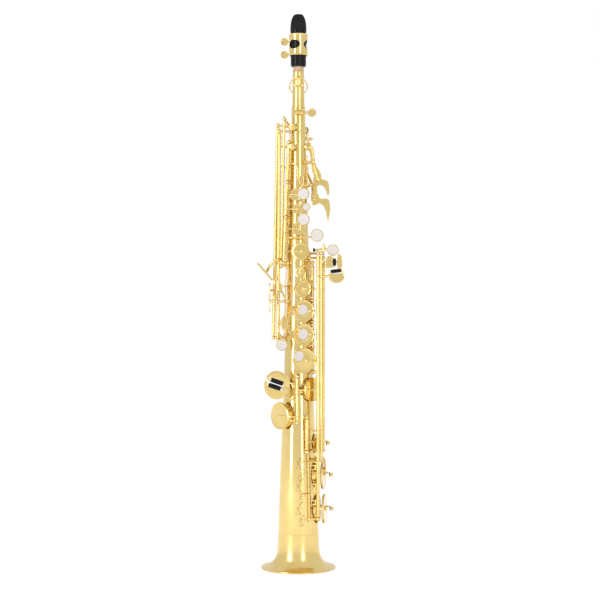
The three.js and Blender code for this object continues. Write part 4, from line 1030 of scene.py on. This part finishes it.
def low_b():
    line = "low_b"
    closed = Shape()
    hinge_tube(closed, line, 138.9, 387.4, 1.7)
    cup_and_boss(closed, "low_b")
    closed.wire([on_line(line, 140.4), (31.4, -16, 137), (31.6, -9, 128), cup_top("low_b", 8, -2, 1.0),
                 cup_top("low_b", 0, 0, 0.4)], 1.4, end_scale=0.8)
    shape = Shape().merge(closed, turn_matrix(line, -OPEN_B))
    shape.wire([on_line(line, 380), (32, -19.8, 380), (45, -19.6, 380), (50, -22.8, 380)], 1.2)
    touch = [(48, 372.6), (53.2, 372.2), (54.2, 380), (52.8, 388), (50.4, 389.2), (48.2, 388.2)]
    shape.front_plate(touch, TOUCH_BACK, 1.8, smooth=4, ease=0.6)
    finish_mesh("low_b_key", shape, "low_b")


def low_c_sharp():
    line = "c_sharp_lever"
    shape = Shape()
    hinge_tube(shape, line, 150.4, 381.6, 1.7)
    shape.wire([on_line(line, 172), (26, -16.7, 172), (19, -16.9, 172)], 1.1)
    shape.wire([on_line(line, 376), (33, -20, 376), (36, -23.2, 376)], 1.2)
    shape.front_plate([(33.4, 372.4), (41.6, 372.4), (41.6, 387), (36.4, 387.2), (33.8, 383)],
                      TOUCH_BACK - 1.4, 1.8,
                      ease=0.6)
    roller_mount(shape, "c_sharp_roller")
    for z in (374.2, 384.4):
        shape.rod((41, -24.6, z), (44.2, -25, z), 1.0)
    finish_mesh("low_c_sharp_lever", shape, "c_sharp_lever")
    roller("c_sharp_roller", "c_sharp_roller")
    shape = Shape()
    line = "c_sharp"
    hinge_tube(shape, line, 149.4, 186)
    cup_and_boss(shape, "c_sharp")
    shape.wire([on_line(line, 158), (18.6, -18.6, 158), (25.6, -11.8, 157),
                cup_top("c_sharp", 1, -6, 0.3)], 1.4)
    shape.wire([on_line(line, 178), (15.4, -22.4, 175), (19.2, -19.9, 172.4)], 1.15)
    finish_mesh("low_c_sharp_key", shape, "low_c_sharp")


def g_sharp_lever():
    line = "c_sharp_lever"
    shape = Shape()
    hinge_tube(shape, line, 393.4, 400.6)
    pearl_holder(shape, "g_sharp")
    shape.wire([on_line(line, 396.4), (36, -18.4, 395.4), (42, -18.2, 394.5)], 1.2)
    shape.wire([on_line(line, 396.4), (26, -15.4, 395.4), (20.6, -16, 394.6)], 1.2)
    felt(shape, (18.0, -16, 394.6), (20.6, -16, 394.6), 2.3)
    finish_mesh("g_sharp_lever", shape, "g_sharp_lever")
    pearl_disc("g_sharp", "g_sharp_lever")


def pinky_half(above, left, right, pocket):
    """Half of the oval touch, on one side of a slanting gap, with a pocket for its roller."""
    slope = math.tan(math.radians(19))
    sign = 1 if above else -1

    def edge(x, away):
        return 230 - (x + 27) * slope + sign * away

    start = -90 if above else 90
    oval = ellipse(-26.6, 228.6, 15.6, 17.6, start, start + 359, 72)
    outline = [(x, z) for x, z in oval if (z - edge(x, 0.5)) * sign > 0]
    ends = (left, right) if above else (right, left)
    return outline + [(ends[0], edge(ends[0], 0.5)), (ends[0], edge(ends[0], pocket)),
                      (ends[1], edge(ends[1], pocket)), (ends[1], edge(ends[1], 0.5))]


def pinky_keys():
    line = "pinky"
    shape = Shape()
    hinge_tube(shape, line, 217, 236)
    cup_and_boss(shape, "e_flat")
    shape.wire([on_line(line, 222.6), (6, -26.4, 222.6), cup_top("e_flat", 0, -9, 0.6),
                cup_top("e_flat", 0, 0, 0.3)], 1.35, end_scale=0.85)
    shape.wire([on_line(line, 229.7), (-9, -27.6, 231), (-16, -27, 234.5)], 1.3)
    shape.front_plate(pinky_half(True, -35.4, -16.8, 5.9), -26.6, 1.8, ease=0.3)
    roller_mount(shape, "e_flat_roller", LOW_LUG)
    finish_mesh("low_e_flat_key", shape, "low_e_flat")
    roller("e_flat_roller", "e_flat_roller", radius=LOW_ROLLER)

    closed = Shape()
    hinge_tube(closed, line, 185.4, 216.5)
    cup_and_boss(closed, "c")
    closed.wire([on_line(line, 190), (-8, -28.4, 190), cup_top("c", 0, 8, 0.6), cup_top("c", 0, 0, 0.3)],
                1.35,
                end_scale=0.85)
    shape = Shape().merge(closed, turn_matrix(line, OPEN_C))
    shape.wire([on_line(line, 211.3), (-9, -28.2, 211.6), (-18, -27.4, 217.6)], 1.3)
    shape.front_plate(pinky_half(False, -38.2, -19.8, 6.7), -26.6, 1.8, ease=0.3)
    roller_mount(shape, "c_roller", LOW_LUG)
    finish_mesh("low_c_key", shape, "low_c")
    roller("c_roller", "c_roller", radius=LOW_ROLLER)


# ------------------------------------------------------------------ back of the instrument
def octave_lever():
    shape = Shape()
    x, y, z = OCTAVE
    shape.rod((-5, y, z), (5, y, z), HINGE_TUBE, segments=28)
    shape.wire([(0, y + 0.6, z), (0, 18.6, 461), (0, 18.4, 454)], 1.6)
    pad = [(0, 0), (6.2, 0), (6.4, 0.4), (6.4, 1.4), (5.9, 2.0), (0, 2.2)]
    shape.spin((0, 17.4, 453), (0, 1, 0), pad, segments=48)
    shape.wire([(0, y + 0.6, z), (-4, 17.6, 480), (-8, 15.4, 490)], 1.3)
    finish_mesh("octave_thumb_lever", shape, "octave_lever")


def thumb_rest():
    seat = radius_at(437) + 0.2
    profile = [(0, -1), (7.0, 0), (7.4, 0.6), (7.3, 2.8), (6.6, 3.9), (5.6, 4.3), (0, 3.9)]
    shape = Shape().spin((0, seat, 437), (0, 1, 0), profile, segments=48)
    finish_mesh("thumb_rest", shape, "body")


def strap_ring():
    seat = radius_at(385) + 0.3
    shape = Shape()
    shape.plate([(-2.4, -7), (2.4, -7), (2.4, 7), (-2.4, 7)], (0, seat + 1.4, 385), (-1, 0, 0), (0, 0, 1),
                1.6)
    shape.verts = [v - Vector((0, 1.6, 0)) for v in shape.verts]
    ring = [(5.6 + math.cos(a) * 1.25 - 1.0, math.sin(a) * 1.25) for a in np.linspace(0, 2 * math.pi,
            14)[:-1]]
    shape.spin((0, seat + 6.4, 385), (1, 0, 0), ring, segments=40, closed=True)
    finish_mesh("strap_ring", shape, "body")


def thumb_hook():
    seat = radius_at(300) + 0.4
    near = seat + 1.6
    curve_out = smooth_pairs([(-3.4, near + 2), (-3.3, near + 8), (0.5, near + 13.4), (8, near + 15),
                              (14, near + 13.2)])
    curve_in = smooth_pairs([(14, near + 11.4), (8, near + 13), (1.6, near + 11.4), (-1.4, near + 7),
                             (-1.4, near + 2)])
    outline = [(-6, seat), (-6, near), (-3.4, near)] + curve_out + curve_in + [(-1.4, near), (6, near),
            (6, seat)]
    shape = Shape().plate(outline, (0, 0, 293.5), (1, 0, 0), (0, 1, 0), 13, ease=0.4)
    shape.rod((2.6, near - 0.2, 300), (2.6, near + 0.8, 300), 1.8, "steel")
    finish_mesh("thumb_hook", shape, "body")


def low_key_guard():
    """A strip behind the low keys, with a finger and a felt bumper for each cup."""
    shape = Shape()
    az = 148
    strip(shape, az, 66, 162)
    for z, start in ((73.5, 38.8), (115.7, 38.2), (155, 34.4)):
        reach = start + 2.4
        shape.wire([polar(az, radius_at(z) + 1.6, z), (24, 28, z), (36, 21, z), (reach, 9, z),
                    (reach, 0.5, z)], 1.3)
        shape.rod((start + 0.9, 0, z), (start + 4, 0, z), 2.6)
        shape.rod((start + 3.8, 0, z), (start + 5.2, 0, z), 1.5)
        felt(shape, (start, 0, z), (start + 1.2, 0, z), 2.2)
    finish_mesh("low_key_guard", shape, "body")


# ------------------------------------------------------------------ neck
NECK_HINGE = Vector((0, -10.2, 599))
CORK_BOTTOM = 617.4
CORK_TOP = 643
TABLE = 6.6
LIGATURE_LOW = 636.7
LIGATURE_HIGH = 663.3
LIGATURE_INSIDE = 10.7
LUG_DEPTH = 13.6
SCREW_HEIGHTS = (640.3, 656.5)


def neck_tube():
    shape = Shape()
    profile = [(5.7, 553), (6.6, 553), (6.6, 571.3), (8.0, 571.3), (8.3, 571.7), (8.3, 573.4), (8.0, 573.9),
               (7.6, 574.3), (7.5, 576), (7.3, 590), (6.9, 608.6), (7.0, 609.2), (7.2, 609.8), (6.9, 616.2),
               (6.7, 617), (6.4, 617.2), (5, 617.2), (5, 644.4), (4.6, 645), (4.1, 645), (4.9, 617)]
    shape.spin(*TUBE_AXIS, profile, "soft_brass", 72, closed=True)
    shape.rod((0, -5.6, 608), (0, -8.9, 608), 1.8, segments=28)
    for side in (-4.4, 4.4):
        shape.rod((side, -5, 599), (side, -10.2, 599), 1.3)
        shape.ball((side, *NECK_HINGE.yz), 1.8)
    finish_mesh("neck_tube", shape, "neck")


def neck_cork():
    bore = 5.0
    profile = [(bore, CORK_BOTTOM), (6.5, CORK_BOTTOM), (6.7, CORK_BOTTOM + 0.3), (6.8, CORK_TOP - 1.5),
               (6.2, CORK_TOP), (bore, CORK_TOP)]
    shape = Shape().spin(*TUBE_AXIS, profile, "cork", 64, closed=True)
    finish_mesh("neck_cork", shape, "neck")


def neck_octave_key():
    _, y, z = NECK_HINGE
    left = [(-0.8, -11.2, 606.6), (-4.8, -10.2, 607.4), (-9.8, -5.4, 602.6), (-11.2, 0, 597),
            (-8.2, 8, 592.8)]
    loop = left + [(0, 11.2, 591.6)] + [(-px, py, pz) for px, py, pz in reversed(left)]
    shape = Shape()
    shape.rod((-2.4, y, z), (2.4, y, z), 1.7, segments=28)
    shape.wire(loop, 0.85)
    shape.wire([(0, y - 0.4, z), (0, y - 1.4, 604), (0, y - 1.2, 608)], 1.3)
    cup_profile = [(0, 0.4), (2.4, 0.4), (2.4, 0), (2.8, 0), (2.9, 0.4), (2.9, 1.7), (2.5, 2.2), (0, 2.5)]
    shape.spin((0, -9.2, 608), (0, -1, 0), cup_profile, segments=40)
    shape.rod((0, -9.15, 608), (0, -9.8, 608), 2.3, "leather")
    finish_mesh("neck_octave_key", shape, "neck_octave")


def thumb_screw(node, body, tip, head, y, z, stem, radius):
    """A turned stem along X with a flat round head, its rim raised, that faces the front."""
    side = math.copysign(1, head - tip)
    shape = Shape()
    shape.rod((tip, y, z), (head - side * radius * 0.9, y, z), stem)
    shape.rod((head - side * (radius + 2.6), y, z), (head - side * (radius + 1.2), y, z), stem + 0.9,
              segments=28)
    face = [(0, -0.7), (radius - 1.5, -0.75), (radius - 0.9, -1.15), (radius - 0.3, -1.1), (radius, -0.7),
            (radius, 0.7), (radius - 0.3, 1.1), (radius - 0.9, 1.15), (radius - 1.5, 0.75), (0, 0.7)]
    shape.spin((head, y, z), (0, -1, 0), face, segments=56)
    finish_mesh(node, shape, body)


def mouthpiece():
    turned = Shape()
    profile = [(7.1, 622.8), (7.9, 622.8), (8.7, 623.2), (9.3, 624.2), (9.6, 626), (9.6, 664), (9.8, 666),
               (10.2, 668), (10.2, 691), (0, 691), (0, 668), (4.4, 668), (4.4, 650), (7.1, 647)]
    turned.spin(*TUBE_AXIS, profile, "ebonite", 96)
    side = smooth_pairs([(10.25, 669), (9.8, 674), (8.8, 680.5), (7.3, 685.5), (5.1, 688.8), (2.2, 689.9)], 5)
    front = [(12, 620)] + [(12, 668.9)] + side + [(-x, z) for x, z in reversed(side)] + [(-12, 668.9),
            (-12, 620)]
    silhouette = Shape().front_plate(front, 14, 28, ease=0.01)
    wedge_side = smooth_pairs([(-9.9, 667), (-9.2, 669.4), (-2, 678.6), (3, 685.6), (5.9, 690.4)], 5)
    wedge = Shape().plate([(-15, 660), (-10.2, 664)] + wedge_side + [(5.9, 696), (-15, 696)], (-15, 0, 0),
                          (0, 1, 0),
                          (0, 0, 1), 30, ease=0.01)
    table = Shape().plate([(TABLE, 634), (16, 630), (16, 696), (TABLE, 696)], (-15, 0, 0), *SIDEWAYS, 30,
                          ease=0.01)
    window = Shape().plate([(-4.6, 664), (4.6, 664), (4.6, 680), (-4.6, 680)], (0, 9, 0), *FACING, 8.5)
    finish_mesh("mouthpiece", turned, "mouthpiece", keep=[silhouette],
                cutters=[wedge, table, window], bevel=0.35)


def reed():
    half = 5.6
    tip = smooth_pairs([(half, 684), (5.4, 686.6), (4.2, 688.4), (1.8, 689.1)], 5)
    front = [(half, 638.5)] + tip + [(-x, z) for x, z in reversed(tip)] + [(-half, 638.5)]
    side = [(TABLE + GAP, 638.5), (TABLE + 2.3, 638.5), (TABLE + 2.3, 664), (TABLE + 1.3, 672),
            (TABLE + 0.7, 689.4),
            (TABLE + GAP, 689.4)]
    shape = Shape().plate(side, (-7, 0, 0), *SIDEWAYS, 14, "cane", ease=0.01)
    outline = Shape().front_plate(front, 14, 14, ease=0.01)
    finish_mesh("reed", shape, "reed_body", keep=[outline], bevel=0.12)


def ligature():
    middle = (LIGATURE_LOW + LIGATURE_HIGH) / 2
    band = Shape()
    r = LIGATURE_INSIDE
    profile = [(r, LIGATURE_LOW), (r + 1.1, LIGATURE_LOW), (r + 1.35, LIGATURE_LOW + 0.5),
               (r + 1.1, LIGATURE_LOW + 1.4), (r + 0.7, LIGATURE_LOW + 1.8), (r + 0.7, LIGATURE_HIGH - 1.8),
               (r + 1.1, LIGATURE_HIGH - 1.4), (r + 1.3, LIGATURE_HIGH - 0.6), (r + 1.0, LIGATURE_HIGH),
               (r, LIGATURE_HIGH)]
    band.spin(*TUBE_AXIS, profile, segments=96, closed=True)
    windows = Shape()
    for az in (-31, 77):
        oval = ellipse(0, 0, 7.6, 5.6, count=48)
        windows.plate(oval, polar(az, 6, middle), around(az), (0, 0, 1), 12, ease=0.01)
    slit = Shape().plate([(-0.8, 630), (0.8, 630), (0.8, 670), (-0.8, 670)], (0, 20, 0), *FACING, 12,
                         ease=0.01)
    finish_mesh("ligature_band", band, "ligature", ["ligature"], cutters=[windows, slit], bevel=0.15)
    lugs = Shape()
    for z in SCREW_HEIGHTS:
        for a, b in ((-6, -0.9), (0.9, 6)):
            lugs.spin((0, LUG_DEPTH, z), (1, 0, 0), [(1.5, a), (2.4, a), (2.6, a + 0.3), (2.6, b - 0.3),
                                                     (2.4, b),
                                                    (1.5, b)], segments=32, closed=True)
            lugs.rod(((a + b) / 2 - 2.2, 11.4, z), ((a + b) / 2 + 2.2, 11.4, z), 1.4)
    finish_mesh("ligature_lugs", lugs, "ligature", [])


# ------------------------------------------------------------------ engraving and springs
def engraving():
    """Generic leaf scrolls, cut as fine lines on the front of the tube."""
    shape = Shape()

    def on_tube(across, z):
        r = radius_at(z) + 0.02
        return polar(math.degrees(across / r), r, z)

    def scroll(x, z, size, turn, way):
        points = []
        for k in range(15):
            t = k / 14
            a = turn + way * t * 5.2
            r = size * (1 - 0.82 * t)
            points.append(on_tube(x + math.cos(a) * r, z + math.sin(a) * r))
        shape.wire(points, 0.17, "engraved", 6, per=2)

    def leaf(x, z, length, angle):
        tip = (x + math.cos(angle) * length, z + math.sin(angle) * length)
        for bend in (-0.28, 0, 0.28):
            swing = length * bend
            mid = ((x + tip[0]) / 2 - math.sin(angle) * swing, (z + tip[1]) / 2 + math.cos(angle) * swing)
            shape.wire([on_tube(x, z), on_tube(*mid), on_tube(*tip)], 0.14, "engraved", 6, per=4)

    for low, high, centre in ((54, 138, 2.6), (527, 547, -2.6)):
        count = round((high - low) / 7)
        stem = [on_tube(centre + 2.2 * math.sin((z - low) * 0.22), z) for z in np.linspace(low, high,
                count * 3)]
        shape.wire(stem, 0.17, "engraved", 6, per=3)
        for k in range(count):
            z = low + 3.5 + 7 * k
            side = 1 if k % 2 else -1
            x = centre + 2.2 * math.sin((z - low) * 0.22)
            scroll(x + side * 3.2, z, 2.6, 0 if side < 0 else math.pi, side)
            leaf(x, z + 2, 4.2, math.pi / 2 - side * 0.9)
            leaf(x, z - 1.5, 3.2, math.pi / 2 + side * 1.1)
    finish_mesh("engraving", shape, "body", [])


def springs():
    """Needle springs: each is fixed in a post and lies along its key's hinge tube."""
    shape = Shape()
    toward_tube = {"upper_stack": (1.9, 1.9, 0), "lower_stack": (-1.6, 2.2, 0), "side_c": (2.2, 1.5, 0),
                   "side_b_flat": (2.2, 1.5, 0), "pinky": (1.2, 2.4, 0)}
    places = [("upper_stack", 435.5, 14), ("upper_stack", 479, -15), ("upper_stack", 435.5, -14),
              ("upper_stack", 479, 15), ("lower_stack", 273, -15), ("lower_stack", 306, -15),
              ("lower_stack", 332.3, -13), ("lower_stack", 332.3, 12), ("lower_stack", 354, 13),
              ("side_c", 550.5, -18), ("side_b_flat", 542.5, -18), ("pinky", 182.5, 16), ("pinky", 239, -14)]
    for line, z, length in places:
        spring(shape, line, z, toward_tube[line], length)
    finish_mesh("needle_springs", shape, "body", [])


# ------------------------------------------------------------------ stage, lights and camera
def look_at(obj, target):
    obj.rotation_euler = (Vector(target) - obj.location).to_track_quat("-Z", "Y").to_euler()


def area_light(name, location, target, size, watts):
    data = bpy.data.lights.new(name, "AREA")
    data.shape = "RECTANGLE"
    data.size, data.size_y = size
    data.energy = watts
    obj = bpy.data.objects.new(name, data)
    obj.location = location
    bpy.context.scene.collection.objects.link(obj)
    look_at(obj, target)


def stage():
    bpy.context.scene.view_settings.view_transform = "Standard"
    world = bpy.data.worlds.new("white_room")
    world.use_nodes = True
    nodes, links = world.node_tree.nodes, world.node_tree.links
    background = nodes["Background"]
    background.inputs["Color"].default_value = (0.96, 0.97, 1.0, 1)
    background.inputs["Strength"].default_value = 0.86
    backdrop = nodes.new("ShaderNodeBackground")
    backdrop.inputs["Color"].default_value = (1, 1, 1, 1)
    path = nodes.new("ShaderNodeLightPath")
    mix = nodes.new("ShaderNodeMixShader")
    links.new(path.outputs["Is Camera Ray"], mix.inputs[0])
    links.new(background.outputs["Background"], mix.inputs[1])
    links.new(backdrop.outputs["Background"], mix.inputs[2])
    links.new(mix.outputs["Shader"], nodes["World Output"].inputs["Surface"])
    bpy.context.scene.world = world
    size = 6
    mesh = bpy.data.meshes.new("floor")
    mesh.from_pydata([(-size, -size, 0), (size, -size, 0), (size, size, 0), (-size, size, 0)], [],
                     [(0, 1, 2, 3)])
    material, _, _, shader = new_material("floor_white")
    shader.inputs["Base Color"].default_value = (0.95, 0.95, 0.95, 1)
    shader.inputs["Roughness"].default_value = 0.9
    shader.inputs["Emission Color"].default_value = (1, 1, 1, 1)
    shader.inputs["Emission Strength"].default_value = 0.25
    mesh.materials.append(material)
    floor = bpy.data.objects.new("floor", mesh)
    bpy.context.scene.collection.objects.link(floor)
    area_light("key_light", (-1.25, -1.2, 0.6), (0, 0, 0.35), (0.35, 1.1), 9)
    area_light("fill_light", (0.75, -1.6, 0.6), (0, 0, 0.35), (0.25, 1.1), 4)


def camera():
    data = bpy.data.cameras.new("camera")
    data.sensor_width = 36
    data.lens = 87.9
    data.dof.use_dof = False
    obj = bpy.data.objects.new("camera", data)
    obj.location = (0.002, -1.823, 0.333)
    obj.rotation_euler = (math.pi / 2, 0, 0)
    bpy.context.scene.collection.objects.link(obj)
    bpy.context.scene.camera = obj


def build():
    make_materials()
    bell()
    body_tube()
    upper_stack_rib()
    lower_stack_rib()
    side_key_rib()
    palm_key_rib()
    single_posts()
    stack_keys()
    upper_keys()
    palm_keys()
    side_keys()
    low_b_flat()
    low_b()
    low_c_sharp()
    g_sharp_lever()
    pinky_keys()
    octave_lever()
    thumb_rest()
    strap_ring()
    thumb_hook()
    low_key_guard()
    thumb_screw("neck_screw", "neck_clamp_screw", -3.6, 17, -12, 564.6, 1.4, 5.2)
    neck_tube()
    neck_cork()
    neck_octave_key()
    mouthpiece()
    reed()
    ligature()
    for node, body, z in (("ligature_screw_lower", "ligature_screw_low", SCREW_HEIGHTS[0]),
                          ("ligature_screw_upper", "ligature_screw_up", SCREW_HEIGHTS[1])):
        thumb_screw(node, body, 5.6, -17.4, LUG_DEPTH, z, 1.3, 4.8)
    engraving()
    springs()


camera()
build()
stage()
